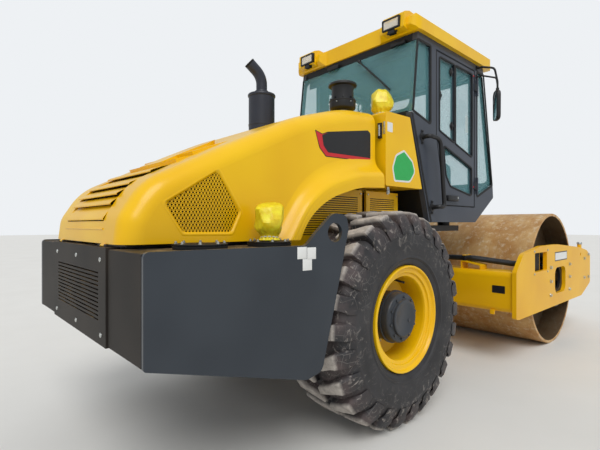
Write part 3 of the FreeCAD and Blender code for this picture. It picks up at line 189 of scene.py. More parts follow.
world = bpy.data.worlds.new("overcast")
bpy.context.scene.world = world
world.use_nodes = True
tree = world.node_tree
direction = add(tree, "TexCoord").outputs["Generated"]
height = add(tree, "SeparateXYZ", {}, {0: direction}).outputs["Z"]
sky = mixed(tree, ramped(tree, height, -0.05, 0.7), linear("DDE2E8"), linear("F4F7FB"))
lit = add(tree, "Background", {}, {"Color": sky, "Strength": SKY_LIGHT})
seen = add(tree, "Background", {}, {"Color": linear("EEF1F4"), "Strength": 1.0})
rays = add(tree, "LightPath")
straight = maths(tree, "MAXIMUM", rays.outputs["Is Camera Ray"], rays.outputs["Is Transmission Ray"])
shown = add(tree, "MixShader", {}, {0: straight, 1: lit.outputs[0], 2: seen.outputs[0]})
tree.links.new(shown.outputs[0], tree.nodes["World Output"].inputs["Surface"])

bpy.ops.object.light_add(type="SUN", location=(-4, -6, 9))
sun = bpy.context.object
sun.name = "wide_sun"
sun.data.energy = SUN_POWER
sun.data.angle = math.radians(35)
sun.rotation_euler = (math.radians(38), math.radians(-14), math.radians(-20))
print("stage ready")
# %% [markdown]
# ## The machine's finishes
# The yellow and the greys are alkyd enamel, sprayed on welded steel plate. Such paint is glossy but not flat: it has
# the slight ripple that painters call orange peel, its shade drifts over a panel, and dust settles on what looks up.
# One recipe makes all of them, with a clear coat for the gloss, because they differ only in colour, in wear and, for
# the slate of the tail's rear faces, in painted shade.

# %% Enamel
DUST = "A2875F"


def enamel(name, colour, drifted, gloss, dust, coat=0.12, mirror=0.32):
    """Sprayed alkyd enamel. The drifted colour shows where the coat is thin, and dust lies on faces that look up."""
    material, tree, shader, place = new_material(name)
    thin = ramped(tree, noise(tree, place, 620, 2), 0.38, 0.62)
    paint = mixed(tree, thin, linear(colour), linear(drifted))
    normal = add(tree, "NewGeometry").outputs["Normal"]
    upward = ramped(tree, add(tree, "SeparateXYZ", {}, {0: normal}).outputs["Z"], 0.80, 1.0)
    film = ramped(tree, noise(tree, place, 90, 5, 0.65), 0.42, 0.75)
    share = maths(tree, "MULTIPLY", maths(tree, "MULTIPLY", upward, film), dust)
    shade = mixed(tree, share, paint, linear(DUST))
    tree.links.new(shade, shader.inputs["Base Color"])
    tree.links.new(ramped(tree, share, 0.0, 0.6, gloss, 0.75), shader.inputs["Roughness"])
    tree.links.new(bumped(tree, noise(tree, place, 9, 2), 0.05), shader.inputs["Normal"])
    shader.inputs["Coat Weight"].default_value = coat
    shader.inputs["Coat Roughness"].default_value = 0.12
    shader.inputs["Specular IOR Level"].default_value = mirror
    return material


BODY_YELLOW = enamel("alkyd_enamel_yellow", "F5C30A", "EFB906", 0.30, 0.12)
FRAME_YELLOW = enamel("alkyd_enamel_yellow_frame", "F0B808", "E8AC06", 0.36, 0.15, 0.06, 0.22)
TAIL_GREY = enamel("alkyd_enamel_slate", "2E343B", "363C43", 0.34, 0.9)
# The soiled slate of the tanks and the rear grille is browner and less glossy than the plain slate: soil, and painted
# shade of the tail's rear faces.
TAIL_SOILED_AND_SHADED = enamel("alkyd_enamel_slate_soiled_and_shaded", "2C2926", "38332E", 0.5, 0.9, 0.0, 0.10)
CAB_GREY = enamel("alkyd_enamel_cab_grey", "3B404A", "434851", 0.40, 0.4)
FRAME_BLACK = enamel("chassis_black", "151618", "1C1D1E", 0.5, 0.6)
HUB_GREY = enamel("cast_hub_grey", "303439", "3A3E44", 0.42, 0.4)
# This black is also painted shade: the dark sheets behind the side panels' slots and behind the side plates' windows.
CORE_AND_SHADE_BLACK = enamel("radiator_core_and_painted_shade_black", "0B0B0C", "111112", 0.7, 0.1, 0.0)
print("enamels:", [m.name for m in (BODY_YELLOW, FRAME_YELLOW, TAIL_GREY, CAB_GREY, FRAME_BLACK, HUB_GREY, CORE_AND_SHADE_BLACK)])

# %% [markdown]
# The drum is rolled mild steel with no paint. It rusts to a thin tan film overnight and the ground scours it again,
# so it has orange rust patches, pale dried soil and fine scratches that run round it, in the way that it rolls. The
# scratches are a noise that is squeezed hard along y and hardly at all in the other two directions.

# %% Scoured steel of the drum


def distance(tree, place, x, z):
    """How far a point lies from the line along y through x and z."""
    parts = add(tree, "SeparateXYZ", {}, {0: add(tree, "Mapping", {}, {"Vector": place, "Location": (-x, 0.0, -z)}).outputs[0]})
    flat = add(tree, "CombineXYZ", {}, {"X": parts.outputs["X"], "Z": parts.outputs["Z"]}).outputs[0]
    return add(tree, "VectorMath", {"operation": "LENGTH"}, {0: flat}).outputs["Value"]


def scoured_steel():
    """Rolled mild steel with flash rust, dried soil and scratches round the drum, and painted shade inside it."""
    material, tree, shader, place = new_material("rolled_steel_flash_rust")
    patches = ramped(tree, noise(tree, place, 300, 6, 0.62), 0.36, 0.62)
    base = mixed(tree, patches, linear("B08148"), linear("CDA66E"))
    rust = ramped(tree, noise(tree, place, 180, 7, 0.7), 0.50, 0.66)
    base = mixed(tree, maths(tree, "MULTIPLY", rust, 0.75), base, linear("AD7430"))
    soil = ramped(tree, noise(tree, place, 55, 6, 0.7), 0.52, 0.70)
    base = mixed(tree, maths(tree, "MULTIPLY", soil, 0.8), base, linear("DCCEB2"))
    squeezed = add(tree, "Mapping", {}, {"Vector": place, "Scale": (1.2, 130.0, 1.2)}).outputs[0]
    lines = add(tree, "TexNoise", {}, {"Vector": squeezed, "Scale": 1.0, "Detail": 5.0, "Roughness": 0.7}).outputs["Fac"]
    scratch = ramped(tree, lines, 0.56, 0.68)
    base = mixed(tree, maths(tree, "MULTIPLY", scratch, 0.28), base, linear("7E6C52"))
    # Painted shade: every point nearer the axis than the drum's skin, that is its inside, is darkened to a brown-black.
    inner = ramped(tree, distance(tree, place, DRUM_X, DRUM_RADIUS), DRUM_RADIUS - 0.0318, DRUM_RADIUS - 0.0290, 0.84, 0.0)
    base = mixed(tree, inner, base, linear("332C25"))
    tree.links.new(base, shader.inputs["Base Color"])
    tree.links.new(ramped(tree, lines, 0.3, 0.7, 0.42, 0.68), shader.inputs["Roughness"])
    height = maths(tree, "ADD", lines, noise(tree, place, 18, 5))
    tree.links.new(bumped(tree, height, 1.0, 0.5), shader.inputs["Normal"])
    shader.inputs["Metallic"].default_value = 0.15
    return material


DRUM_STEEL = scoured_steel()

# %% [markdown]
# Tyre rubber is near black, but on a used tyre the lugs' tops are ground grey by the road and the side walls carry
# smears of dried mud. The distance from the axle tells the two apart: only the outermost millimetres are ground.

# %% Tyre rubber


def tyre_rubber():
    """Vulcanised rubber: ground grey lug tops, black grooves, mud smears on the side walls."""
    material, tree, shader, place = new_material("vulcanised_rubber_tyre")
    radius = distance(tree, place, AXLE_X, AXLE_Z)
    blotch = noise(tree, place, 45, 5, 0.65)
    worn = ramped(tree, radius, TYRE_RADIUS - 0.026, TYRE_RADIUS - 0.006)
    ground = maths(tree, "MULTIPLY", worn, ramped(tree, blotch, 0.30, 0.60, 0.45, 1.0))
    rubber = mixed(tree, ramped(tree, noise(tree, place, 200, 3), 0.35, 0.65), linear("222123"), linear("323133"))
    streaked = add(tree, "TexNoise", {}, {"Vector": place, "Scale": per(85), "Detail": 8.0, "Roughness": 0.72, "Distortion": 2.2})
    smear = ramped(tree, streaked.outputs["Fac"], 0.55, 0.66, 0.0, 0.75)
    band = ramped(tree, radius, 0.43, 0.62)
    dusty = maths(tree, "MULTIPLY", ramped(tree, radius, 0.56, 0.70, 0.0, 0.7), ramped(tree, noise(tree, place, 150, 5), 0.40, 0.62))
    rubber = mixed(tree, dusty, rubber, linear("5E504E"))
    rubber = mixed(tree, maths(tree, "MULTIPLY", smear, band), rubber, linear("A09890"))
    cells = add(tree, "TexVoronoi", {"feature": "DISTANCE_TO_EDGE"}, {"Vector": place, "Scale": per(75), "Randomness": 1.0})
    graze = ramped(tree, cells.outputs["Distance"], 0.0, 0.020, 0.5, 0.0)
    graze = maths(tree, "MULTIPLY", graze, ramped(tree, noise(tree, place, 130, 3), 0.48, 0.60))
    rubber = mixed(tree, maths(tree, "MULTIPLY", graze, band), rubber, linear("9A958F"))
    rubber = mixed(tree, ground, rubber, linear("B9B1A8"))
    tree.links.new(rubber, shader.inputs["Base Color"])
    tree.links.new(ramped(tree, ground, 0.0, 1.0, 0.58, 0.85), shader.inputs["Roughness"])
    tree.links.new(bumped(tree, noise(tree, place, 5, 4), 0.35), shader.inputs["Normal"])
    return material


TYRE_RUBBER = tyre_rubber()


def moulded(name, colour, roughness, grain_mm=1.5, depth_mm=0.15):
    """Moulded rubber or plastic with a fine even grain."""
    material, tree, shader, place = new_material(name)
    shade = ramped(tree, noise(tree, place, 300, 3), 0.3, 0.7, 0.85, 1.15)
    tinted = add(tree, "VectorMath", {"operation": "SCALE"}, {0: linear(colour)[:3], "Scale": shade}).outputs[0]
    tree.links.new(tinted, shader.inputs["Base Color"])
    tree.links.new(bumped(tree, noise(tree, place, grain_mm, 2), depth_mm), shader.inputs["Normal"])
    tree.links.new(ramped(tree, noise(tree, place, 60, 3), 0.3, 0.7, roughness - 0.05, roughness + 0.08), shader.inputs["Roughness"])
    return material


HOSE_RUBBER = moulded("hose_rubber", "151516", 0.5, 2.0)
SEAL_RUBBER = moulded("epdm_seal", "0E0E0F", 0.6)
BLACK_PLASTIC = moulded("moulded_abs_black", "161618", 0.45, 1.2, 0.1)
CABIN_PLASTIC = moulded("grained_abs_cabin", "2A2B2E", 0.6, 3.0, 0.3)
STACK_BLACK = moulded("heat_proof_black", "272A35", 0.38, 1.0, 0.05)
FOAM_BLACK = moulded("acoustic_foam_black", "121213", 0.9, 6.0, 0.8)
print("rubbers and plastics ready")

# %% [markdown]
# Window glass on such a cab is toughened and faintly green, because of the iron in it. A pane this thin hardly bends
# what lies behind it, so it is made of two simple things: light that passes with a tint, and a sharp mirror of the
# sky that grows towards grazing angles, which Fresnel gives.

# %% Glass, lamps and bright metal


def glass(name, tint, mirror, see_through):
    """Toughened window glass: tinted light passes and the sky mirrors in it by Fresnel."""
    material = bpy.data.materials.new(name)
    material.use_nodes = True
    tree = material.node_tree
    shader = tree.nodes["Principled BSDF"]
    shader.inputs["Base Color"].default_value = linear(tint)
    shader.inputs["Roughness"].default_value = 0.03
    shader.inputs["Specular IOR Level"].default_value = mirror
    shader.inputs["Alpha"].default_value = see_through
    return material


CAB_GLASS = glass("toughened_glass_green", "7FC2C8", 1.0, 0.24)
LAMP_GLASS = glass("lamp_glass", "FFF6E2", 0.8, 0.30)


def bright(name, colour, roughness, metallic=1.0):
    """Plated or polished metal with a faint unevenness in its polish."""
    material, tree, shader, place = new_material(name)
    shader.inputs["Base Color"].default_value = linear(colour)
    shader.inputs["Metallic"].default_value = metallic
    tree.links.new(ramped(tree, noise(tree, place, 12, 3), 0.3, 0.7, roughness * 0.7, roughness * 1.4), shader.inputs["Roughness"])
    return material


CHROME = bright("hard_chrome", "D6D8DA", 0.10)
ZINC = bright("zinc_plate", "C6C8C4", 0.28)
REFLECTOR = bright("lamp_reflector", "F2F0EA", 0.12)
MIRROR = bright("mirror_glass", "C9D2D6", 0.04)
print("glass and metals ready")

# %% [markdown]
# Film, labels and cloth are the thin things. The bags over the filler and the breather are polythene: light comes
# through it, so it glows where it is thin. Labels are printed vinyl with a satin face. The seat has a coarse weave:
# two sets of threads cross, which two wave patterns at right angles give, so its bump needs no image.

# %% Film, vinyl and cloth


def film(name, colour):
    """Thin coloured polythene: glossy, crumpled and lit from behind."""
    material, tree, shader, place = new_material(name)
    shade = mixed(tree, ramped(tree, noise(tree, place, 35, 4), 0.35, 0.65), linear(colour), linear("E6C814"))
    tree.links.new(shade, shader.inputs["Base Color"])
    shader.inputs["Roughness"].default_value = 0.30
    shader.inputs["Subsurface Weight"].default_value = 0.25
    shader.inputs["Subsurface Radius"].default_value = (0.02, 0.016, 0.004)
    tree.links.new(bumped(tree, noise(tree, place, 16, 5, 0.6), 2.2), shader.inputs["Normal"])
    return material


def vinyl(name, colour, second):
    """Satin printed vinyl, a little unevenly faded."""
    material, tree, shader, place = new_material(name)
    tree.links.new(mixed(tree, noise(tree, place, 40, 3), linear(colour), linear(second)), shader.inputs["Base Color"])
    tree.links.new(ramped(tree, noise(tree, place, 15, 2), 0.3, 0.7, 0.34, 0.44), shader.inputs["Roughness"])
    return material


def seat_cloth():
    """Coarse flat-woven upholstery, black with grey threads."""
    material, tree, shader, place = new_material("woven_upholstery")
    threads = []
    for axis in ("Y", "Z"):
        bands = {"wave_type": "BANDS", "bands_direction": axis}
        threads.append(add(tree, "TexWave", bands, {"Vector": place, "Scale": per(3.0) / 3.2, "Distortion": 0.4}).outputs["Fac"])
    weave = maths(tree, "MULTIPLY", *threads)
    shade = mixed(tree, ramped(tree, weave, 0.2, 0.8), linear("1B1C1F"), linear("3A3B40"))
    worn = mixed(tree, ramped(tree, noise(tree, place, 120, 4), 0.45, 0.7, 0.0, 0.3), shade, linear("4A4A4C"))
    tree.links.new(worn, shader.inputs["Base Color"])
    shader.inputs["Roughness"].default_value = 0.85
    shader.inputs["Sheen Weight"].default_value = 0.25
    tree.links.new(bumped(tree, weave, 0.5), shader.inputs["Normal"])
    return material


COVER_FILM = film("polythene_film_yellow", "FAEA34")
WHITE_VINYL = vinyl("vinyl_white", "E9E9E6", "DADAD6")
BLACK_VINYL = vinyl("vinyl_black", "101012", "1A191B")
RED_VINYL = vinyl("vinyl_red", "D3222A", "BE1B24")
GREEN_VINYL = vinyl("vinyl_green", "1FA64B", "2BB257")
SEAT_CLOTH = seat_cloth()
HEADLINER = moulded("felt_headliner", "43484F", 0.85, 4.0, 0.3)
print("film, vinyl and cloth ready")
# %% [markdown]
# ## Modelling helpers
# Each new piece is made as by hand: a primitive, edit mode, modifiers. Operators act on all that is selected, so
# `clear` deselects first. `finish` ends every piece in the same way: its place goes into its mesh, it gets its
# material, sharp edges stay sharp while the rest is shaded smooth, and it rides with the body that carries it.

# %% Selecting, modifiers and finishing


def clear():
    """Object mode with nothing selected."""
    if bpy.context.object and bpy.context.object.mode != "OBJECT":
        bpy.ops.object.mode_set(mode="OBJECT")
    bpy.ops.object.select_all(action="DESELECT")


def take(*pieces):
    """Select only these pieces. The first is the active one."""
    clear()
    for piece in pieces:
        piece.select_set(True)
    bpy.context.view_layer.objects.active = pieces[0]


def modify(piece, kind, **settings):
    """Give the piece a modifier and apply it."""
    take(piece)
    modifier = piece.modifiers.new(kind.lower(), kind)
    for name, value in settings.items():
        setattr(modifier, name, value)
    bpy.ops.object.modifier_apply(modifier=modifier.name)
    return piece


def place_in_mesh(piece):
    """The object goes back to the origin and its place moves into its mesh."""
    take(piece)
    bpy.ops.object.transform_apply(location=True, rotation=True, scale=True)
    return piece


def finish(piece, name, material, body, smooth=35):
    """Name, material, shading and body of a piece that is ready."""
    place_in_mesh(piece)
    piece.name = name
    piece.data.name = name
    piece.data.materials.clear()
    piece.data.materials.append(material)
    bpy.ops.object.shade_smooth_by_angle(angle=math.radians(smooth))
    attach(piece, body)
    return piece


def copied(piece, shift=(0, 0, 0)):
    """A copy with its own mesh, moved by shift."""
    take(piece)
    bpy.ops.object.duplicate(linked=False)
    made = bpy.context.object
    made.location = made.location + Vector(shift)
    return made


def merged(pieces):
    """Several meshes joined into one object."""
    for piece in pieces:
        place_in_mesh(piece)
    take(*pieces)
    bpy.ops.object.join()
    return bpy.context.object


def reflected(piece):
    """A copy on the machine's other side, with its faces turned to point outwards again."""
    made = copied(piece)
    made.scale.y = -1
    place_in_mesh(made)
    bpy.ops.object.mode_set(mode="EDIT")
    bpy.ops.mesh.select_all(action="SELECT")
    bpy.ops.mesh.flip_normals()
    bpy.ops.object.mode_set(mode="OBJECT")
    return made


# %% [markdown]
# Four shapes come back all over a machine. A block is a cube with broken edges, because no plate has a knife edge. A
# round body is a circle that is extruded ring by ring, as on a lathe. A plate is a flat outline with holes, drawn as
# a curve and made a mesh. A tube follows its middle line with rounded corners.

# %% Blocks and round bodies


def block(low, high, edge=0.003):
    """A box between two corners with its edges broken."""
    clear()
    low, high = Vector(low), Vector(high)
    bpy.ops.mesh.primitive_cube_add(size=1, location=(low + high) / 2)
    piece = bpy.context.object
    piece.scale = high - low
    place_in_mesh(piece)
    return modify(piece, "BEVEL", width=edge, segments=2, limit_method="ANGLE") if edge else piece


def aimed(piece, centre, direction):
    """Turn a piece made along z to the direction, set it at centre and put that into its mesh."""
    piece.rotation_euler = Vector((0, 0, 1)).rotation_difference(Vector(direction)).to_euler()
    piece.location = centre
    return place_in_mesh(piece)


def turned(rows, centre, direction, steps=48, edge=0.0, closed=False):
    """A round body from rows of (place along the axis, radius). A radius of 0 ends it in a pole."""
    clear()
    start = rows[1] if rows[0][1] == 0 else rows[0]
    bpy.ops.mesh.primitive_circle_add(vertices=steps, radius=start[1], location=(0, 0, start[0]))
    piece = bpy.context.object
    place_in_mesh(piece)
    bpy.ops.object.mode_set(mode="EDIT")
    bpy.ops.mesh.select_all(action="SELECT")
    if rows[0][1] == 0:
        bpy.ops.mesh.edge_face_add()
    following = rows[2:] if rows[0][1] == 0 else rows[1:]
    along, radius = start
    for next_along, next_radius in following:
        if next_radius == 0:
            bpy.ops.mesh.edge_face_add()
            break
        bpy.ops.mesh.extrude_region_move(TRANSFORM_OT_translate={"value": (0, 0, next_along - along)})
        if next_radius != radius:
            share = next_radius / radius
            bpy.ops.transform.resize(value=(share, share, 1), center_override=(0, 0, next_along))
        along, radius = next_along, next_radius
    bpy.ops.mesh.select_all(action="SELECT")
    bpy.ops.mesh.remove_doubles(threshold=0.00002)
    bpy.ops.mesh.normals_make_consistent(inside=False)
    bpy.ops.object.mode_set(mode="OBJECT")
    if edge:
        modify(piece, "BEVEL", width=edge, segments=2, limit_method="ANGLE", angle_limit=math.radians(25))
    return aimed(piece, centre, direction)


# %% Plates and tubes


def rounded(corners, steps=5):
    """Points of an outline whose rows are u, v and corner radius."""
    points = []
    count = len(corners)
    for i, (u, v, radius) in enumerate(corners):
        corner = Vector((u, v))
        back = Vector(corners[i - 1][:2]) - corner
        ahead = Vector(corners[(i + 1) % count][:2]) - corner
        if radius <= 0:
            points.append(corner)
            continue
        half = back.angle(ahead) / 2
        cut = min(radius / math.tan(half), 0.49 * back.length, 0.49 * ahead.length)
        reach = cut * math.tan(half)
        middle = corner + (back.normalized() + ahead.normalized()).normalized() * (reach / math.sin(half))
        first = corner + back.normalized() * cut - middle
        last = corner + ahead.normalized() * cut - middle
        turn = first.angle_signed(last)
        for step in range(steps + 1):
            points.append(middle + Matrix.Rotation(-turn * step / steps, 2) @ first)
    return points


FACING = {
    # what u, v and the plate's outward side become in the frame
    "right": ((1, 0, 0), (0, 0, 1), (0, -1, 0)),
    "back": ((0, -1, 0), (0, 0, 1), (-1, 0, 0)),
    "front": ((0, 1, 0), (0, 0, 1), (1, 0, 0)),
    "top": ((1, 0, 0), (0, 1, 0), (0, 0, 1)),
}


def plate(corners, holes, facing, level, thick, edge=0.0015):
    """A flat plate. Its outer face lies at level: on y for right, on x for back and front, on z for top."""
    clear()
    curve = bpy.data.curves.new("outline", "CURVE")
    curve.dimensions = "2D"
    curve.fill_mode = "BOTH"
    curve.extrude = thick / 2 - edge
    curve.bevel_depth = edge
    curve.bevel_resolution = 1
    curve.offset = -edge
    for rows in (corners, *holes):
        points = rounded(rows)
        spline = curve.splines.new("POLY")
        spline.points.add(len(points) - 1)
        for point, place in zip(spline.points, points):
            point.co = (place.x, place.y, 0, 1)
        spline.use_cyclic_u = True
    piece = bpy.data.objects.new("plate", curve)
    bpy.context.scene.collection.objects.link(piece)
    take(piece)
    bpy.ops.object.convert(target="MESH")
    piece = bpy.context.object
    across, upward, out = (Vector(v) for v in FACING[facing])
    turn = Matrix((across, upward, out)).transposed().to_4x4()
    piece.matrix_world = Matrix.Translation(out * (abs(level) * (1 if level * sum(out) >= 0 else -1) - thick / 2)) @ turn
    return place_in_mesh(piece)


def frame_outline(u0, u1, v0, v1, radius):
    """Rows of a rounded rectangle."""
    return [(u0, v0, radius), (u1, v0, radius), (u1, v1, radius), (u0, v1, radius)]


def tube(points, radius, bend=0.03, steps=6, sides=3, closed=False):
    """A round bar or pipe along straight runs, with an arc of about bend at each inner corner."""
    clear()
    points = [Vector(p) for p in points]
    path = []
    last = len(points) - 1
    for i, corner in enumerate(points):
        if (i in (0, last) and not closed) or bend <= 0:
            path.append(corner)
            continue
        back = points[i - 1] - corner
        ahead = points[(i + 1) % len(points)] - corner
        half = back.angle(ahead) / 2
        cut = min(bend / math.tan(half), 0.45 * back.length, 0.45 * ahead.length) if half < 1.56 else 0
        if cut <= 0:
            path.append(corner)
            continue
        first, second = corner + back.normalized() * cut, corner + ahead.normalized() * cut
        for step in range(steps + 1):
            share = step / steps
            path.append(first.lerp(corner, share).lerp(corner.lerp(second, share), share))
    curve = bpy.data.curves.new("tube", "CURVE")
    curve.dimensions = "3D"
    curve.bevel_depth = radius
    curve.bevel_resolution = sides
    curve.use_fill_caps = not closed
    spline = curve.splines.new("POLY")
    spline.points.add(len(path) - 1)
    for point, place in zip(spline.points, path):
        point.co = (*place, 1)
    spline.use_cyclic_u = closed
    piece = bpy.data.objects.new("tube", curve)
    bpy.context.scene.collection.objects.link(piece)
    take(piece)
    bpy.ops.object.convert(target="MESH")
    return bpy.context.object


# %% [markdown]
# A pressed or blended form is a skin through several lines. The first line is drawn, and each next one is extruded
# from the last and put in its place, point by point.

# %% Skins through lines


def lofted(lines, outward, closed=True):
    """A skin through lines of equally many points. Its first face looks about along outward."""
    clear()
    curve = bpy.data.curves.new("line", "CURVE")
    curve.dimensions = "3D"
    spline = curve.splines.new("POLY")
    spline.points.add(len(lines[0]) - 1)
    for point, place in zip(spline.points, lines[0]):
        point.co = (*place, 1)
    spline.use_cyclic_u = closed
    piece = bpy.data.objects.new("skin", curve)
    bpy.context.scene.collection.objects.link(piece)
    take(piece)
    bpy.ops.object.convert(target="MESH")
    piece = bpy.context.object
    bpy.ops.object.mode_set(mode="EDIT")
    bpy.ops.mesh.select_all(action="SELECT")
    for line in lines[1:]:
        bpy.ops.mesh.extrude_region_move()
        bpy.ops.object.mode_set(mode="OBJECT")
        for vertex, place in zip(piece.data.vertices[-len(line):], line):
            vertex.co = place
        bpy.ops.object.mode_set(mode="EDIT")
    bpy.ops.mesh.select_all(action="SELECT")
    bpy.ops.mesh.normals_make_consistent(inside=False)
    bpy.ops.object.mode_set(mode="OBJECT")
    if piece.data.polygons[0].normal.dot(Vector(outward)) < 0:
        bpy.ops.object.mode_set(mode="EDIT")
        bpy.ops.mesh.flip_normals()
        bpy.ops.object.mode_set(mode="OBJECT")
    return piece


# %% [markdown]
# Hexagon bolts hold most of the bolted plates. One is turned with six sides on a round washer, and copies of it go
# to each place. The dome in the middle of the head is left out, because it can't be seen from a metre away.

# %% Bolts


def bolts(places, direction, across=0.024, washer=True):
    """Hexagon heads of that width across flats, each standing on its place and pointing in the direction."""
    corner = across / 2 / math.cos(math.pi / 6)
    head = turned([(0, 0), (0.002, corner), (across * 0.55, corner), (across * 0.62, corner * 0.88), (across * 0.62, 0)],
                  (0, 0, 0), (0, 0, 1), steps=6)
    made = [head]
    if washer:
        made.append(turned([(-0.0005, 0), (-0.0005, across * 0.72), (0.003, across * 0.72), (0.003, 0)], (0, 0, 0), (0, 0, 1), steps=20))
    first = merged(made)
    every = []
    for index, place in enumerate(places):
        one = copied(first)
        one.rotation_euler = (0, 0, 0)
        every.append(aimed_spun(one, place, direction, 0.7 * index))
    take(first)
    bpy.ops.object.delete()
    return merged(every)


def aimed_spun(piece, centre, direction, spin):
    """As aimed, after a turn about the piece's own axis, so that no two bolts look the same way."""
    aim = Vector((0, 0, 1)).rotation_difference(Vector(direction)).to_matrix().to_4x4()
    piece.matrix_world = Matrix.Translation(Vector(centre)) @ aim @ Matrix.Rotation(spin, 4, "Z")
    return place_in_mesh(piece)


print("helpers ready")
# %% [markdown]
# ## Finishes of the solids
# Most solids already have their true shape, so they only get a finish. One table says which. Those that are still
# too plain are replaced by a detailed piece further down, and the finish given here then stays hidden.

# %% Give every solid its finish
FINISH = {
    "rear_frame": FRAME_BLACK, "side_plates": TAIL_GREY, "tanks": TAIL_SOILED_AND_SHADED, "rear_grille": TAIL_SOILED_AND_SHADED, "deck": TAIL_GREY,
    "deck_hatches": SEAL_RUBBER, "engine_block": CORE_AND_SHADE_BLACK, "rear_axle": HUB_GREY, "engine_side_panels": BODY_YELLOW,
    "oil_tank": BODY_YELLOW, "cab_base": FRAME_BLACK, "cab_side_right": CAB_GREY, "cab_side_left": CAB_GREY,
    "cab_rear": FRAME_BLACK, "cab_front": CAB_GREY, "cab_glass": CAB_GLASS, "roof": BODY_YELLOW, "roof_lamps": LAMP_GLASS,
    "cab_rails": BLACK_PLASTIC, "cab_fittings": CABIN_PLASTIC, "seat_cushions": SEAT_CLOTH, "rain_covers": COVER_FILM,
    "hood_shell": BODY_YELLOW, "hood_mesh": BODY_YELLOW, "hood_louvres": BODY_YELLOW, "exhaust_stack": STACK_BLACK,
    "pre_cleaner": BLACK_PLASTIC, "drum_frame": FRAME_YELLOW, "centre_joint": FRAME_BLACK, "drum_carriers": FRAME_BLACK,
    "scrapers": FRAME_YELLOW, "drum_hoses": HOSE_RUBBER, "drum": DRUM_STEEL,
}
for side in ("left", "right"):
    FINISH.update({
        "door_" + side: CAB_GREY, "door_glass_" + side: CAB_GLASS, "tyre_" + side: TYRE_RUBBER, "rim_" + side: BODY_YELLOW,
        "hub_" + side: HUB_GREY, "steer_barrel_" + side: FRAME_BLACK, "steer_rod_" + side: CHROME,
    })
for name, material in FINISH.items():
    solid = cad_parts[name]
    solid.data.materials.clear()
    solid.data.materials.append(material)
print("solids finished:", len(FINISH), "of", len(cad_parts))
# %% [markdown]
# ## Wheels
# The drive tyres have long bars that run from the crown over the shoulder and die out on the side wall. Each bar is
# cut like a ploughshare: flat on top, sloping at its sides and stepped over the shoulder. A bar is one plane that is
# extruded in five steps. Its corners are then set from a table, which is what dragging them by hand would do.

# %% One traction bar
LUG_COUNT = 26
LUG_RADIUS = TYRE_RADIUS
BASE_RADIUS = TYRE_RADIUS - 0.050
LUG_ROWS = [
    # across the tread, radius of its top, of its foot, place along the tread, width of its top and of its foot
    (0.004, 0.745, 0.690, -0.052, 0.056, 0.078),
    (0.110, 0.745, 0.690, -0.014, 0.064, 0.090),
    (0.170, 0.744, 0.688, 0.016, 0.078, 0.104),
    (0.207, 0.740, 0.676, 0.026, 0.088, 0.114),
    (0.252, 0.678, 0.640, 0.020, 0.092, 0.112),
    (0.2625, 0.600, 0.586, 0.014, 0.064, 0.084),
]


def traction_bar():
    """One bar for the left half of the tread, at the top of a tyre whose axle is the origin."""
    clear()
    bpy.ops.mesh.primitive_plane_add(size=0.05)
    bar = bpy.context.object
    bpy.ops.object.mode_set(mode="EDIT")
    bpy.ops.mesh.select_all(action="SELECT")
    for _ in LUG_ROWS[1:]:
        bpy.ops.mesh.extrude_region_move(TRANSFORM_OT_translate={"value": (0, 0, 0.05)})
    bpy.ops.object.mode_set(mode="OBJECT")
    order = sorted(bar.data.vertices, key=lambda v: (round(v.co.z, 4), v.co.y, v.co.x))
    for index, (across, top, foot, along, top_width, foot_width) in enumerate(LUG_ROWS):
        low_back, low_front, high_back, high_front = order[4 * index:4 * index + 4]
        low_back.co = (along - foot_width / 2, across, foot)
        low_front.co = (along + foot_width / 2, across, foot)
        high_back.co = (along - top_width / 2, across, top)
        high_front.co = (along + top_width / 2, across, top)
    take(bar)
    bpy.ops.object.mode_set(mode="EDIT")
    bpy.ops.mesh.select_all(action="SELECT")
    bpy.ops.mesh.normals_make_consistent(inside=False)
    bpy.ops.object.mode_set(mode="OBJECT")
    return modify(bar, "BEVEL", width=0.005, segments=2, limit_method="ANGLE", angle_limit=math.radians(40))


# %% [markdown]
# The carcass is turned like a pot. Its side wall bulges, carries two fine ribs that guard it against kerbs, and ends
# in a bead that grips the rim. The bars stand on it in two rows, half a step apart.

# %% Tyres
CARCASS = [
    # across from the tyre's middle, radius
    (-0.196, 0.366), (-0.222, 0.372), (-0.236, 0.392), (-0.240, 0.412), (-0.248, 0.418), (-0.2535, 0.424),
    (-0.2535, 0.432), (-0.251, 0.438), (-0.259, 0.480), (-0.2615, 0.530), (-0.2585, 0.570), (-0.2595, 0.574),
    (-0.2595, 0.584), (-0.2575, 0.588), (-0.246, 0.630), (-0.226, 0.664), (-0.196, 0.686), (-0.140, 0.696),
    (0.140, 0.696), (0.196, 0.686), (0.226, 0.664), (0.246, 0.630), (0.2575, 0.588), (0.2595, 0.584),
    (0.2595, 0.574), (0.2585, 0.570), (0.2615, 0.530), (0.259, 0.480), (0.251, 0.438), (0.2535, 0.432),
    (0.2535, 0.424), (0.248, 0.418), (0.240, 0.412), (0.236, 0.392), (0.222, 0.372), (0.196, 0.366),
]


def whole_tyre():
    """Carcass and both rows of bars, with the axle at the origin."""
    parts = [turned(CARCASS, (0, 0, 0), (0, 1, 0), steps=120)]
    bar = traction_bar()
    other = reflected(bar)
    step = 2 * math.pi / LUG_COUNT
    for master, start in ((bar, 0.0), (other, step / 2)):
        for index in range(LUG_COUNT):
            one = copied(master)
            one.matrix_world = Matrix.Rotation(start + step * index, 4, "Y")
            parts.append(place_in_mesh(one))
    take(bar, other)
    bpy.ops.object.delete()
    return merged(parts)


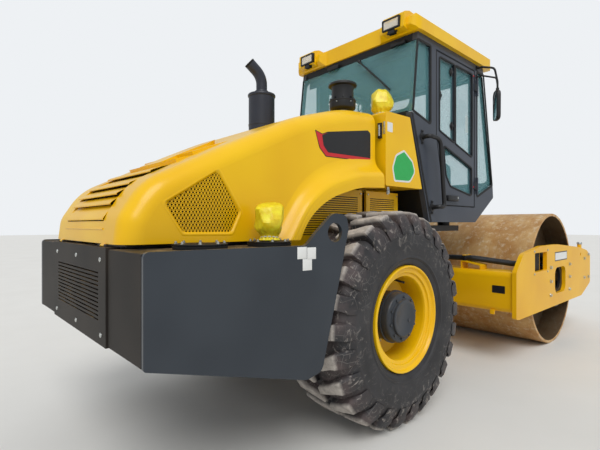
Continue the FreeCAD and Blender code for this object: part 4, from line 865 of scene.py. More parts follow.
tyre = whole_tyre()
for name, side in (("left", 1), ("right", -1)):
    one = copied(tyre, (AXLE_X, side * abs(TYRE_Y), AXLE_Z))
    finish(one, "tyre_tread_" + name, TYRE_RUBBER, "wheel_" + name, 30)
    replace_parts(one, "tyre_" + name)
    print(one.name, "triangles:", sum(len(p.vertices) - 2 for p in one.data.polygons))
take(tyre)
bpy.ops.object.delete()

# %% [markdown]
# The planetary hub's cap is a turned casting. Ten flush screws hold it in a ring, and a raised disc in its middle is
# left bare. The rim's disc is bolted behind it, and a bent filling valve comes out of the rim beside the hub.

# %% Hub caps, screws and valves
HUB_FACE = abs(TYRE_Y) + 0.213


def ring_of(count, radius, start=0.0):
    """Places in a ring about the rear axle, seen from the side."""
    return [(AXLE_X + radius * math.cos(start + 2 * math.pi * i / count), AXLE_Z + radius * math.sin(start + 2 * math.pi * i / count))
            for i in range(count)]


for name, side in (("left", 1), ("right", -1)):
    out = (0, side, 0)
    cap = turned([(-0.190, 0.160), (-0.190, 0.1725), (-0.098, 0.1725), (-0.096, 0.1850), (-0.078, 0.1850), (-0.076, 0.1765), (-0.034, 0.1755),
                  (-0.024, 0.170), (-0.0185, 0.162), (-0.0175, 0.1315), (-0.0145, 0.128), (0.0, 0.127), (0.0035, 0.122), (0.0035, 0.100),
                  (0.0015, 0.097), (0.0015, 0)],
                 (AXLE_X, side * HUB_FACE, AXLE_Z), out, steps=72)
    screws = bolts([(x, side * (HUB_FACE - 0.0185), z) for x, z in ring_of(10, 0.1465, 0.2)], out, 0.017, False)
    plug = turned([(0, 0), (0, 0.013), (0.006, 0.012), (0.006, 0)], (AXLE_X + 0.045, side * (HUB_FACE + 0.001), AXLE_Z - 0.02), out, steps=24, edge=0.001)
    finish(merged([cap, screws, plug]), "hub_cap_" + name, HUB_GREY, "wheel_" + name)
    nuts = bolts([(x, side * (abs(TYRE_Y) - 0.0095), z) for x, z in ring_of(16, 0.190)], out, 0.026)
    finish(nuts, "wheel_nuts_" + name, ZINC, "wheel_" + name)
    valve = tube([(AXLE_X + 0.04, side * 0.84, AXLE_Z + 0.25), (AXLE_X + 0.04, side * 0.93, AXLE_Z + 0.252),
                  (AXLE_X + 0.07, side * 0.985, AXLE_Z + 0.235)], 0.008, 0.02)
    finish(valve, "valve_stem_" + name, SEAL_RUBBER, "wheel_" + name)
print("wheels dressed")
# %% [markdown]
# ## Hood
# The side openings are filled with perforated steel: round holes on a triangular pitch, punched from thin sheet.
# Drawing one cell with one hole and repeating it gives a mesh whose holes are real, so light falls through it. Each
# cell is a square frame bridged to an octagon. Two copies half a pitch apart make the triangular pattern, and five
# straight cuts then trim the sheet to the opening.

# %% Perforated sheet
MESH_CORNERS = [
    # x ahead of the rear axle, z
    (-1.570, 1.506), (-1.250, 1.706), (-1.096, 1.468), (-1.158, 1.342), (-1.463, 1.346),
]
PITCH, HOLE = 0.0200, 0.0125


def perforated_sheet(low_u, high_u, low_v, high_v):
    """Flat sheet in x and z with round holes on a triangular pitch, at y = 0."""
    clear()
    bpy.ops.mesh.primitive_circle_add(vertices=8, radius=HOLE / 2, rotation=(math.pi / 2, math.pi / 8, 0))
    cell = place_in_mesh(bpy.context.object)
    bpy.ops.object.mode_set(mode="EDIT")
    bpy.ops.mesh.select_all(action="SELECT")
    bpy.ops.mesh.extrude_region_move(TRANSFORM_OT_translate={"value": (0, 0, 0)})
    bpy.ops.object.mode_set(mode="OBJECT")
    row = PITCH * math.sqrt(3) / 2
    for vertex in cell.data.vertices:
        if vertex.index >= 8:
            share = vertex.co / max(abs(vertex.co.x) / (PITCH / 2), abs(vertex.co.z) / (row / 2))
            vertex.co = share
    columns = math.ceil((high_u - low_u) / PITCH) + 2
    rows = math.ceil((high_v - low_v) / row) + 1
    modify(cell, "ARRAY", use_relative_offset=False, use_constant_offset=True, constant_offset_displace=(PITCH, 0, 0),
           count=columns, use_merge_vertices=True, merge_threshold=0.0004)
    lines = [cell]
    for index in range(1, rows):
        lines.append(copied(cell, (PITCH / 2 * (index % 2), 0, row * index)))
    sheet = merged(lines)
    sheet.location = (low_u - PITCH, 0, low_v)
    return place_in_mesh(sheet)


def trimmed(sheet, corners):
    """Cut the sheet along each side of a convex outline given in x and z."""
    take(sheet)
    middle = Vector((sum(c[0] for c in corners) / len(corners), 0, sum(c[1] for c in corners) / len(corners)))
    for index, corner in enumerate(corners):
        start, end = Vector((corner[0], 0, corner[1])), Vector((corners[index - 1][0], 0, corners[index - 1][1]))
        out = (end - start).cross(Vector((0, 1, 0))).normalized()
        out = -out if out.dot(middle - start) > 0 else out
        bpy.ops.object.mode_set(mode="EDIT")
        bpy.ops.mesh.select_all(action="SELECT")
        bpy.ops.mesh.bisect(plane_co=start, plane_no=out, clear_outer=True, threshold=0.00001)
        bpy.ops.object.mode_set(mode="OBJECT")
    return sheet


HOOD_SIDE = 0.650
corners = [(at(u), v) for u, v in MESH_CORNERS]
sheet = perforated_sheet(at(-1.570), at(-1.096), 1.342, 1.706)
trimmed(sheet, corners)
sheet.location.y = -(HOOD_SIDE - 0.0095)
place_in_mesh(sheet)
modify(sheet, "SOLIDIFY", thickness=0.0025, offset=0)
take(sheet)
bpy.ops.object.mode_set(mode="EDIT")
bpy.ops.mesh.select_all(action="SELECT")
bpy.ops.mesh.normals_make_consistent(inside=False)
bpy.ops.object.mode_set(mode="OBJECT")
other = reflected(sheet)
both = finish(merged([sheet, other]), "hood_perforated_sheet", BODY_YELLOW, "hood")
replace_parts(both, "hood_mesh")
print("perforated sheet triangles:", sum(len(p.vertices) - 2 for p in both.data.polygons))

# %% [markdown]
# Round the sheet runs a pressed step: the hood's skin turns inwards over a few millimetres, and the step's lower edge
# catches the light. It is a frame swept round the five corners.

# %% Pressed frame round the mesh


def inset_outline(corners, gap):
    """The outline moved inwards by gap on every side."""
    moved = []
    count = len(corners)
    centre = Vector((sum(c[0] for c in corners) / count, sum(c[1] for c in corners) / count))
    for i in range(count):
        before, here, after = (Vector(corners[j % count]) for j in (i - 1, i, i + 1))
        lines = []
        for start, end in ((before, here), (here, after)):
            along = (end - start).normalized()
            inward = Vector((-along.y, along.x))
            inward = inward if inward.dot(centre - start) > 0 else -inward
            lines.append((start + inward * gap, along))
        (p, d), (q, e) = lines
        share = (q - p).cross(e) / d.cross(e)
        moved.append(p + d * share)
    return moved


def pressed_frame():
    """Chamfer between the hood's skin and the mesh, one strip for each side of the opening."""
    lines = []
    for gap, depth in ((-0.010, -0.0004), (-0.0035, -0.0026), (0.0, -0.0022), (0.011, 0.0072), (0.011, 0.0095)):
        rows = [(u, v, 0.022) for u, v in inset_outline(corners, gap)]
        lines.append([(p.x, -HOOD_SIDE + depth, p.y) for p in rounded(rows, 4)])
    return lofted(lines, (0, -1, 0))


frame_right = pressed_frame()
frame_left = reflected(frame_right)
finish(merged([frame_right, frame_left]), "hood_mesh_frame", BODY_YELLOW, "hood", 50)

# %% [markdown]
# The slats on the hood's back are pressed strips laid like shingles. Each has a lip that stands proud of the strip
# below and a back edge that dips under the strip above, and that gap is where the radiator's air gets out.

# %% Pressed slats
SLAT_FEET = [(-1.757, 1.415), (-1.721, 1.497), (-1.692, 1.549), (-1.628, 1.608), (-1.509, 1.686), (-1.362, 1.764)]
SLAT_CURVE = [(0.00, 0.0100), (0.00, 0.0150), (0.04, 0.0175), (0.12, 0.0172), (0.45, 0.0110), (0.80, 0.0000), (1.08, -0.0080)]
slats = []
for low, high in zip(SLAT_FEET, SLAT_FEET[1:]):
    low, high = Vector((at(low[0]), 0, low[1])), Vector((at(high[0]), 0, high[1]))
    out = Vector((low.z - high.z, 0, high.x - low.x)).normalized()
    row = [low.lerp(high, share) + out * proud for share, proud in SLAT_CURVE]
    slat = lofted([[p + Vector((0, y, 0)) for p in row] for y in (-0.3618, 0.3618)], out, closed=False)
    slats.append(modify(slat, "SOLIDIFY", thickness=0.0025, offset=-1))
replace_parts(finish(merged(slats), "hood_slats", BODY_YELLOW, "hood", 40), "hood_louvres")
feet = [Vector((at(x), 0, z)) for x, z in SLAT_FEET]
inside = [p + Vector((0.042, 0, -0.034)) for p in feet]
screen = lofted([[p + Vector((0, y, 0)) for p in inside] for y in (-0.380, 0.380)], (-1, 0, 1), closed=False)
modify(screen, "SOLIDIFY", thickness=0.004, offset=-1)
finish(screen, "hood_dust_screen", CORE_AND_SHADE_BLACK, "hood", 40)

# %% [markdown]
# The fender is a bulge of the hood's skin and not a rim stuck onto it. Above its rounded edge the skin sweeps back to
# the flat side in an S-curve. The skin's lines all follow the arch over the tyre: each is the arch moved up by some
# amount, and set out from the hood's side by another.

# %% Blend between the fender and the hood's side
ARCH = [(-0.640, 2 * TYRE_RADIUS - 0.053), (-0.443, 2 * TYRE_RADIUS + 0.084), (-0.127, 2 * TYRE_RADIUS + 0.175)]
HOOD_FOOT, FENDER_FRONT, FRONT_LIP = 1.2985, 0.1695, 2 * TYRE_RADIUS + 0.197


def arch_line(up, out):
    """The arch's lip moved up and set out from the hood's side, from its foot to its front end."""
    foot = (-TYRE_RADIUS - 0.017 - up, 1.197)
    rise = ((HOOD_FOOT - foot[1]) / (ARCH[0][1] + up - foot[1]))
    start = foot[0] + (ARCH[0][0] - foot[0]) * rise
    rows = [(at(start), HOOD_FOOT, 0)] + [(at(x), z + up, 0.95) for x, z in ARCH] + [(at(FENDER_FRONT), FRONT_LIP + up, 0), (at(0.0), 0.0, 0)]
    return [(p.x, -HOOD_SIDE - out, p.y) for p in rounded(rows, 8)[:-1]]


S_CURVE = [
    # moved up, set out
    (0.052, 0.0880), (0.070, 0.0897), (0.085, 0.0868), (0.100, 0.0785), (0.115, 0.0655), (0.130, 0.0500), (0.148, 0.0330),
    (0.168, 0.0180), (0.190, 0.0080), (0.212, 0.0024), (0.232, -0.0006),
]
blend = lofted([arch_line(up, out) for up, out in S_CURVE], (0, -1, 1), closed=False)
finish(merged([blend, reflected(blend)]), "fender_blend", BODY_YELLOW, "hood", 70)
# %% [markdown]
# Under the slats a pressed bead stiffens the hood's back, which is a half-sunk bar here. On each side sits a badge
# plate. Its face stays bare: a dark panel with a slanted red edge, cut from sheet and glued on. The rubber holder and
# the latch keep the hood shut.

# %% Bead, badge plates and hood latches
bead = tube([(at(-1.7705), -0.372, 1.372), (at(-1.7705), 0.372, 1.372)], 0.0055, 0, 1, 2)
finish(bead, "hood_back_bead", BODY_YELLOW, "hood")

PANEL = [(-0.428, 2.012, 0.004), (-0.414, 1.942, 0.03), (-0.368, 1.900, 0.02), (0.104, 1.911, 0.004), (0.104, 2.103, 0.014), (0.072, 2.117, 0.014), (-0.372, 2.039, 0.01)]
RED = [(-0.490, 2.034, 0.002), (-0.449, 1.926, 0.04), (-0.388, 1.874, 0.02), (0.104, 1.886, 0.004), (0.104, 2.103, 0.014), (0.072, 2.117, 0.014), (-0.372, 2.039, 0.01), (-0.424, 2.018, 0.02)]
BORDER = [(-0.497, 2.042, 0.003), (-0.454, 1.922, 0.04), (-0.391, 1.868, 0.02), (0.110, 1.880, 0.004), (0.110, 2.105, 0.016), (0.076, 2.123, 0.016), (-0.372, 2.045, 0.01), (-0.424, 2.024, 0.02)]
for name, rows, level, thick, material in (
        ("badge_border", BORDER, -0.6508, 0.0012, BLACK_VINYL), ("badge_edge", RED, -0.6516, 0.0012, RED_VINYL),
        ("badge_panel", PANEL, -0.6524, 0.0012, BLACK_VINYL)):
    right = plate([(at(u), v, r) for u, v, r in rows], [], "right", level, thick, 0.0004)
    finish(merged([right, reflected(right)]), name, material, "hood")

holder = merged([
    block((at(0.196), -0.683, 2.078), (at(0.2170), -0.652, 2.100), 0.003), block((at(0.196), -0.683, 2.176), (at(0.2170), -0.652, 2.198), 0.003),
    block((at(0.207), -0.684, 2.076), (at(0.2170), -0.651, 2.200), 0.002),
])
finish(merged([holder, reflected(holder)]), "hood_lock_holder", SEAL_RUBBER, "chassis")
lock = merged([
    tube([(at(0.199), -0.6675, 2.094), (at(0.199), -0.6675, 2.182)], 0.0095, 0),
    block((at(0.2135), -0.713, 2.108), (at(0.2165), -0.692, 2.206), 0.0010),
])
finish(merged([lock, reflected(lock)]), "hood_lock", ZINC, "chassis")
toggle = merged([
    block((at(0.222), -0.727, 1.632), (at(0.246), -0.717, 1.690), 0.002),
    tube([(at(0.226), -0.727, 1.686), (at(0.226), -0.734, 1.640), (at(0.242), -0.734, 1.640), (at(0.242), -0.727, 1.686)], 0.003, 0.006),
])
finish(merged([toggle, reflected(toggle)]), "tank_toggle", ZINC, "chassis")

# %% [markdown]
# The exhaust can has a rolled rim, the pipe is clamped to it with a band, and its elbow ends in a dark mouth. The
# cleaner beside it throws dust out of the intake air: a dish below, a ring of fixed vanes, a lid with a rolled brim.

# %% Exhaust and pre-cleaner
STACK = (at(-0.430), 0.035)
rim = turned([(2.424, 0.1045), (2.426, 0.1090), (2.432, 0.1120), (2.442, 0.1120), (2.4480, 0.108), (2.4480, 0.100), (2.4455, 0.098), (2.4455, 0)], (*STACK, 0), (0, 0, 1), 56)
seam = turned([(2.190, 0.1045), (2.192, 0.1072), (2.204, 0.1072), (2.206, 0.1045)], (*STACK, 0), (0, 0, 1), 56)
finish(merged([rim, seam]), "stack_rims", STACK_BLACK, "hood")
clamp = turned([(2.4500, 0.0510), (2.4500, 0.0545), (2.4545, 0.0565), (2.4720, 0.0565), (2.4765, 0.0545), (2.4765, 0.0510)], (*STACK, 0), (0, 0, 1), 40)
lugs = [block((STACK[0] - 0.004 + s, STACK[1] + 0.048, 2.453), (STACK[0] + 0.004 + s, STACK[1] + 0.082, 2.474), 0.0015) for s in (-0.010, 0.010)]
finish(merged([clamp] + lugs), "stack_clamp", STACK_BLACK, "hood")
screw = merged([tube([(STACK[0] - 0.028, STACK[1] + 0.070, 2.4635), (STACK[0] + 0.028, STACK[1] + 0.070, 2.4635)], 0.0050, 0),
                bolts([(STACK[0] - 0.014, STACK[1] + 0.070, 2.4635)], (-1, 0, 0), 0.014)])
finish(screw, "stack_clamp_bolt", ZINC, "hood")
out = Vector((-0.105, 0.026, 0.095)).normalized()
mouth = turned([(0.0004, 0), (0.0004, 0.0385), (0.0030, 0.0390), (0.0040, 0.0415), (0.0020, 0.0445), (-0.010, 0.0448)], Vector((at(-0.535), 0.061, 2.690)), out, 32)
finish(mouth, "stack_mouth", CORE_AND_SHADE_BLACK, "hood")

CLEANER = (at(0.058), -0.407, 0)
rows = [(2.250, 0), (2.250, 0.0545), (2.318, 0.0545), (2.322, 0.088), (2.331, 0.102), (2.340, 0.1060), (2.386, 0.1060), (2.388, 0.1090), (2.396, 0.1090),
        (2.398, 0.1020), (2.402, 0.0905), (2.500, 0.0880), (2.508, 0.0910), (2.512, 0.1100), (2.515, 0.1150), (2.527, 0.1150), (2.532, 0.1120),
        (2.543, 0.090), (2.552, 0.060), (2.552, 0)]
body = turned(rows, CLEANER, (0, 0, 1), 64)
vanes = []
for index in range(8):
    vane = block((0.0900, -0.006, 2.400), (0.1035, 0.006, 2.420), 0.002)
    vane.rotation_euler = (0, 0, 2 * math.pi * index / 8)
    vane.location = CLEANER
    vanes.append(vane)
cleaner = finish(merged([body] + vanes), "pre_cleaner_bowl", BLACK_PLASTIC, "hood")
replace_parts(cleaner, "pre_cleaner")
band = turned([(2.296, 0.0540), (2.296, 0.0568), (2.313, 0.0568), (2.313, 0.0540)], CLEANER, (0, 0, 1), 40)
pins = [tube([(CLEANER[0] + 0.106 * math.cos(a), CLEANER[1] + 0.106 * math.sin(a), 2.372),
              (CLEANER[0] + 0.1135 * math.cos(a), CLEANER[1] + 0.1135 * math.sin(a), 2.372)], 0.0045, 0) for a in (0.3 + 2 * math.pi * k / 6 for k in range(6))]
worm = block((CLEANER[0] - 0.072, CLEANER[1] - 0.014, 2.297), (CLEANER[0] - 0.053, CLEANER[1] + 0.014, 2.312), 0.003)
finish(merged([band, worm] + pins), "pre_cleaner_band", ZINC, "hood")

# %% [markdown]
# The oil tank's sides carry two labels. Both stay bare: a small white one and a green one with a white border.

# %% Blank labels of the oil tank
TANK_Y = -0.718
PLATES = [
    ("tank_label_small", [(0.238, 2.130, 0.005), (0.308, 2.130, 0.005), (0.308, 2.206, 0.005), (0.238, 2.206, 0.005)], 0.0010, WHITE_VINYL),
    ("tank_label_border", [(0.330, 1.740, 0.02), (0.560, 1.745, 0.07), (0.640, 1.840, 0.05), (0.600, 1.930, 0.04), (0.470, 2.012, 0.03), (0.350, 1.960, 0.06), (0.302, 1.850, 0.06)], 0.0010, WHITE_VINYL),
    ("tank_label_green", [(0.345, 1.755, 0.014), (0.552, 1.760, 0.06), (0.624, 1.842, 0.04), (0.588, 1.920, 0.03), (0.470, 1.994, 0.02), (0.362, 1.948, 0.05), (0.318, 1.850, 0.05)], 0.0018, GREEN_VINYL),
]
for name, rows, thick, material in PLATES:
    right = plate([(at(u), v, r) for u, v, r in rows], [], "right", TANK_Y - thick + 0.0003, thick, 0.0003)
    finish(merged([right, reflected(right)]), name, material, "chassis")

# %% [markdown]
# Under a real hood the walls are lined with black foam against the noise, so the round holes look dark from outside.
# The lining is a thick plate along each wall with a window where the mesh is, and another behind each side panel.

# %% Foam lining of the engine bay
WALL = [(-1.700, 1.320, 0.02), (-1.690, 1.430, 0.1), (-1.600, 1.562, 0.1), (-1.250, 1.742, 0.1), (-0.620, 2.028, 0.2), (-0.130, 2.165, 0.2),
        (0.120, 2.180, 0.02), (0.120, 1.722, 0.02), (-0.150, 1.702, 0.2), (-0.460, 1.612, 0.2), (-0.660, 1.475, 0.1), (-0.790, 1.320, 0.02)]
WINDOW = [(-1.585, 1.508, 0.02), (-1.250, 1.724, 0.02), (-1.080, 1.468, 0.02), (-1.150, 1.332, 0.02), (-1.472, 1.334, 0.02)]
lining = plate([(at(u), v, r) for u, v, r in WALL], [[(at(u), v, r) for u, v, r in WINDOW]], "right", -0.634, 0.018, 0.004)
finish(merged([lining, reflected(lining)]), "hood_foam_lining", FOAM_BLACK, "hood")
backs = [plate([(at(x0), 1.305, 0), (at(x1), 1.305, 0), (at(x1), 1.655, 0), (at(x0), 1.655, 0)], [], "right", -0.518, 0.016, 0.003)
         for x0, x1 in ((-0.688, 0.141), (0.198, 0.590))]
backs = merged(backs)
finish(merged([backs, reflected(backs)]), "side_panel_foam", FOAM_BLACK, "chassis")

# %% [markdown]
# Behind the slots of the engine's side panels it is dark. The solid's slots end in the panel, so a dark sheet of
# painted shade lies just behind their floor line and shows only where a slot is. Screws hold each panel at its corners.

# %% Painted shade behind the slots, and the panels' screws
sheets, screws = [], []
for x0, x1 in ((-0.690, 0.143), (0.196, 0.640)):
    # a black sheet, painted shade, behind the slots of this panel
    sheets.append(block((at(x0 + 0.040), -0.5345, 1.300), (at(x1 - 0.040), -0.5325, 2 * TYRE_RADIUS + 0.140), 0))
    places = [(x, z) for x in (x0 + 0.022, x1 - 0.022) for z in (1.310, 1.480, 2 * TYRE_RADIUS + 0.150)]
    screws.append(bolts([(at(x), -0.540, z) for x, z in places], (0, -1, 0), 0.013, False))
sheets, screws = merged(sheets), merged(screws)
finish(merged([sheets, reflected(sheets)]), "side_panel_slot_shade", CORE_AND_SHADE_BLACK, "chassis")
finish(merged([screws, reflected(screws)]), "side_panel_screws", ZINC, "chassis")
print("hood, stack and tank details ready")
# %% [markdown]
# ## Tail and deck
# Details on the tail are small: five flush screws on the grille, three blank labels on the right wing, and rubber
# blocks on which the hood rests. Labels are thin plates, because a sticker has a thickness that catches light at its
# edge. The wing is flared, so its labels are made flat and then turned by the same angle.

# %% Screws, labels and rubber blocks of the tail
WING_FLARE = math.radians(4.086)
TAIL_X, WING_Y, DECK_Z = -1.800, 0.975, 1.282

places = [(0.440, 1.220), (-0.010, 1.220), (-0.446, 1.219), (0.455, 0.841), (-0.005, 0.841), (-0.455, 0.841)]
screws = []
for y, z in places:
    rows = [(0, 0), (0, 0.013), (0.003, 0.0125), (0.0052, 0.007), (0.0055, 0)]
    screws.append(turned(rows, (at(TAIL_X - 0.008), y, z), (-1, 0, 0), steps=20))
finish(merged(screws), "tail_screws", ZINC, "chassis")

LABELS = [
    # distance along the wing's outer face from its rear corner, z of the middle, width, height
    (0.831, 1.2435, 0.064, 0.064), (0.897, 1.239, 0.062, 0.064), (0.867, 1.179, 0.064, 0.062),
]
pieces = []
for along, z, width, height in LABELS:
    label = block((-width / 2, -0.0004, -height / 2), (width / 2, 0.0008, height / 2), 0.0003)
    turn = Matrix.Rotation(-WING_FLARE, 4, "Z")
    corner = Matrix.Translation((at(TAIL_X), -WING_Y, z))
    label.matrix_world = corner @ turn @ Matrix.Translation((along, -0.0008, 0))
    pieces.append(place_in_mesh(label))
finish(merged(pieces), "wing_labels", WHITE_VINYL, "chassis")

pads = []
for x, y in ((-1.70, 0.60), (-1.25, 0.635), (-0.95, 0.635)):
    for side in (1, -1):
        pads.append(block((at(x) - 0.035, side * y - 0.012, DECK_Z), (at(x) + 0.035, side * y + 0.012, DECK_Z + 0.0145), 0.002))
finish(merged(pads), "hood_rest_pads", SEAL_RUBBER, "chassis")

# %% [markdown]
# The four deck hatches are covers over the tanks and the batteries. Each is two discs with a groove between them and
# a ring of zinc bolts with domed heads. The covers are turned, and their
# groove is one more row in the table.

# %% Deck hatches with their bolts
HATCHES = [(-1.446, 0.802, 0.135), (-1.446, -0.802, 0.135), (-1.010, 0.802, 0.125), (-1.010, -0.802, 0.125)]
covers = []
heads = []
for x, y, radius in HATCHES:
    rows = [(-0.007, radius - 0.002), (0.004, radius), (0.0085, radius), (0.0105, radius - 0.006), (0.0125, radius - 0.006),
            (0.014, radius), (0.0175, radius), (0.0190, radius - 0.002), (0.0193, 0)]
    covers.append(turned(rows, (at(x), y, DECK_Z), (0, 0, 1), steps=64))
    for index in range(8):
        angle = 2 * math.pi * (index + 0.35) / 8
        place = (at(x) + (radius - 0.018) * math.cos(angle), y + (radius - 0.018) * math.sin(angle), DECK_Z + 0.0193)
        rows = [(0, 0.010), (0.003, 0.010), (0.003, 0.0070), (0.0105, 0.0070), (0.0130, 0.004), (0.0131, 0)]
        heads.append(turned(rows, place, (0, 0, 1), steps=10))
neck = turned([(0.012, 0.042), (0.0558, 0.042), (0.056, 0.040), (0.056, 0)], (at(-1.010), -0.802, DECK_Z), (0, 0, 1), steps=40)
hatches = finish(merged(covers + [neck]), "deck_hatch_covers", SEAL_RUBBER, "chassis")
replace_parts(hatches, "deck_hatches")
finish(merged(heads), "deck_hatch_bolts", ZINC, "chassis")
print("hatch bolts:", 8 * len(HATCHES))

# %% [markdown]
# ## Film bags
# A yellow bag is pulled over the filler neck and another over the breather, and tied below. Air and folds make such a
# bag lumpy: broad facets meet in sharp creases, and under the tie it flares out in pleats. It starts as a turned shape.
# Every point then moves in to the nearest of eighteen scattered planes that cut into the form, or out by at most a
# twentieth, and close to the tie by pleats that are counted round it. The planes are worked out in code from a fixed
# seed, so each run gives the same.

# %% Bags over the filler and the breather


def crumpled(piece, centre, tie_z, seed):
    """Facets where scattered planes cut into the round form, and pleats close to the tie."""
    random.seed(seed)
    planes = []
    for _ in range(18):
        direction = Vector((random.gauss(0, 1), random.gauss(0, 1), random.gauss(0, 0.9))).normalized()
        planes.append((direction, random.uniform(0.76, 0.97)))
    middle = Vector((centre[0], centre[1], tie_z + 0.095))
    for vertex in piece.data.vertices:
        away = vertex.co - middle
        toward = away.normalized()
        level = vertex.co.z - tie_z
        reach = min([1.05] + [depth / direction.dot(toward) for direction, depth in planes if direction.dot(toward) > 0.3])
        share = min(max(level - 0.020, 0) / 0.04, 1.0)
        vertex.co += away * share * (reach - 1)
        out = Vector((vertex.co.x - centre[0], vertex.co.y - centre[1], 0))
        pleat = abs(math.sin(math.atan2(out.y, out.x) * 6.5 + seed)) - 0.5
        vertex.co += out * pleat * 0.20 * max(0.0, 1.0 - abs(level) / 0.05)
    return piece


BAGS = [
    # name, x ahead of the axle, y, z of the tie, radius of the neck, largest radius, what it rests on, seed
    ("filler_bag", -1.010, -0.802, 1.326, 0.042, 0.087, "deck_hatches", 5),
    ("breather_bag", 0.410, -0.530, 2.331, 0.048, 0.094, "oil_tank", 11),
]
for name, x, y, tie_z, neck, radius, under, seed in BAGS:
    rows = [(-0.018, neck + 0.018), (-0.008, neck + 0.010), (0.0, neck + 0.006), (0.012, neck + 0.010), (0.034, radius * 0.86),
            (0.060, radius * 1.04), (0.098, radius * 1.10), (0.135, radius * 1.06), (0.168, radius * 0.92), (0.192, radius * 0.66),
            (0.206, radius * 0.34), (0.210, 0)]
    bag = turned(rows, (at(x), y, tie_z), (0, 0, 1), steps=36)
    modify(bag, "SUBSURF", levels=1, render_levels=1)
    crumpled(bag, (at(x), y), tie_z, seed)
    modify(bag, "SOLIDIFY", thickness=0.0010, offset=-1)
    finish(bag, name, COVER_FILM, "chassis", 22)
    band = [(at(x) + (neck + 0.0085) * math.cos(a), y + (neck + 0.0085) * math.sin(a), tie_z + 0.003 * math.sin(2 * a))
            for a in (2 * math.pi * k / 20 for k in range(20))]
    finish(tube(band, 0.0035, 0.012, 2, 2, closed=True), name + "_tie", WHITE_VINYL, "chassis")
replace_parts(bpy.data.objects["breather_bag"], "rain_covers")
# %% [markdown]
# ## Cab
# Every pane sits in a black rubber profile, which is what draws the cab's lines. A profile is a flat frame here: the
# window's outline grown outwards, with the outline as its hole. On the doors it rides with the door. A second frame
# follows the door's own edge, where a hollow seal closes the gap.

# %% Window rubbers
CAB_Y = -0.720


def grown(corners, gap):
    """A convex outline in u and v, moved outwards by gap on every side."""
    count = len(corners)
    centre = Vector((sum(c[0] for c in corners) / count, sum(c[1] for c in corners) / count))
    moved = []
    for i in range(count):
        before, here, after = (Vector(corners[j % count][:2]) for j in (i - 1, i, i + 1))
        lines = []
        for start, end in ((before, here), (here, after)):
            along = (end - start).normalized()
            outward = Vector((along.y, -along.x))
            outward = outward if outward.dot(start - centre) > 0 else -outward
            lines.append((start + outward * gap, along))
        (p, d), (q, e) = lines
        bend = d.cross(e)
        share = (q - p).cross(e) / bend if abs(bend) > 1e-6 else 0
        radius = corners[i][2] + gap if len(corners[i]) > 2 else 0.02
        moved.append((*(p + d * share), max(radius, 0.004)))
    return moved


def machine(rows):
    """Rows given ahead of the rear axle, moved to the frame."""
    return [(at(u), v, r) for u, v, r in rows]


DOOR_EDGE = [(0.986, 2.984, 0.012), (0.986, 2.207, 0.06), (1.143, 1.574, 0.012), (1.756, 1.574, 0.012), (1.756, 2.984, 0.012)]
UPPER_REAR = [(1.045, 2.935, 0.02), (1.045, 2.262, 0.02), (1.325, 2.1863, 0.015), (1.325, 2.935, 0.015)]
UPPER_FRONT = [(1.350, 2.935, 0.015), (1.350, 2.1796, 0.015), (1.700, 2.085, 0.02), (1.700, 2.935, 0.02)]
LOWER = [(1.120, 2.130, 0.02), (1.165, 1.860, 0.06), (1.250, 1.760, 0.06), (1.690, 1.690, 0.03), (1.690, 1.970, 0.02)]
QUARTER = [(0.606, 2.364, 0.01), (0.888, 2.294, 0.02), (0.888, 2.990, 0.01), (0.676, 2.990, 0.01)]
CORNER = [(1.812, 1.684, 0.012), (2.190, 1.826, 0.01), (1.968, 2.990, 0.01), (1.812, 2.990, 0.01)]

door_rubber = merged([
    plate(machine(grown(rows, 0.011)), [machine(grown(rows, -0.006))], "right", CAB_Y - 0.0035, 0.010, 0.002)
    for rows in (UPPER_REAR, UPPER_FRONT, LOWER)
] + [plate(machine(DOOR_EDGE), [machine(grown(DOOR_EDGE, -0.007))], "right", CAB_Y - 0.0005, 0.006, 0.0015)])
fixed_rubber = merged([
    plate(machine(grown(rows, 0.012)), [machine(grown(rows, -0.010))], "right", CAB_Y - 0.0025, 0.009, 0.002)
    for rows in (QUARTER, CORNER)])
finish(reflected(door_rubber), "door_rubber_left", SEAL_RUBBER, "cab_door_left")
finish(door_rubber, "door_rubber_right", SEAL_RUBBER, "cab_door_right")
finish(merged([fixed_rubber, reflected(fixed_rubber)]), "cab_side_rubber", SEAL_RUBBER, "chassis")

# %% [markdown]
# The rear window and the windscreen are glued panes with a printed black border on the inside, so the frame's edge
# doesn't show through. The border is a thin ring just behind the glass. It lies in a sloping plane, so it is made
# flat and then turned.

# %% Printed borders of the sloping panes


def sloping_ring(low, high, half_low, half_high, border, thick, push):
    """A ring in the plane through (x, z) low and high, which runs across the machine."""
    height = math.hypot(high[0] - low[0], high[1] - low[1])
    outer = [(-half_low, 0, 0.02), (half_low, 0, 0.02), (half_high, height, 0.03), (-half_high, height, 0.03)]
    inner = [(u * (1 - border / abs(u)), border * 0.8 if v == 0 else height - border, 0.05) for u, v, _ in outer]
    ring = plate(outer, [inner], "front", 0, thick, 0.0005)
    slope = math.atan2(high[0] - low[0], high[1] - low[1])
    ring.matrix_world = Matrix.Translation((at(low[0]) + push, 0, low[1])) @ Matrix.Rotation(slope, 4, "Y")
    return place_in_mesh(ring)


borders = [
    sloping_ring((0.603, 2.366), (0.676, 2.988), 0.712, 0.712, 0.045, 0.003, 0.0125),
    sloping_ring((2.200, 1.824), (1.964, 2.988), 0.712, 0.712, 0.045, 0.003, -0.0095),
]
finish(merged(borders), "pane_borders", SEAL_RUBBER, "chassis")

# %% [markdown]
# A wiper sweeps each sloping pane. Its motor sits behind the upper edge, the arm is sprung onto the glass, and the
# blade hangs in a hinge in the middle. A rubber lip and a thin steel back are all that shows at this distance.

# %% Wipers


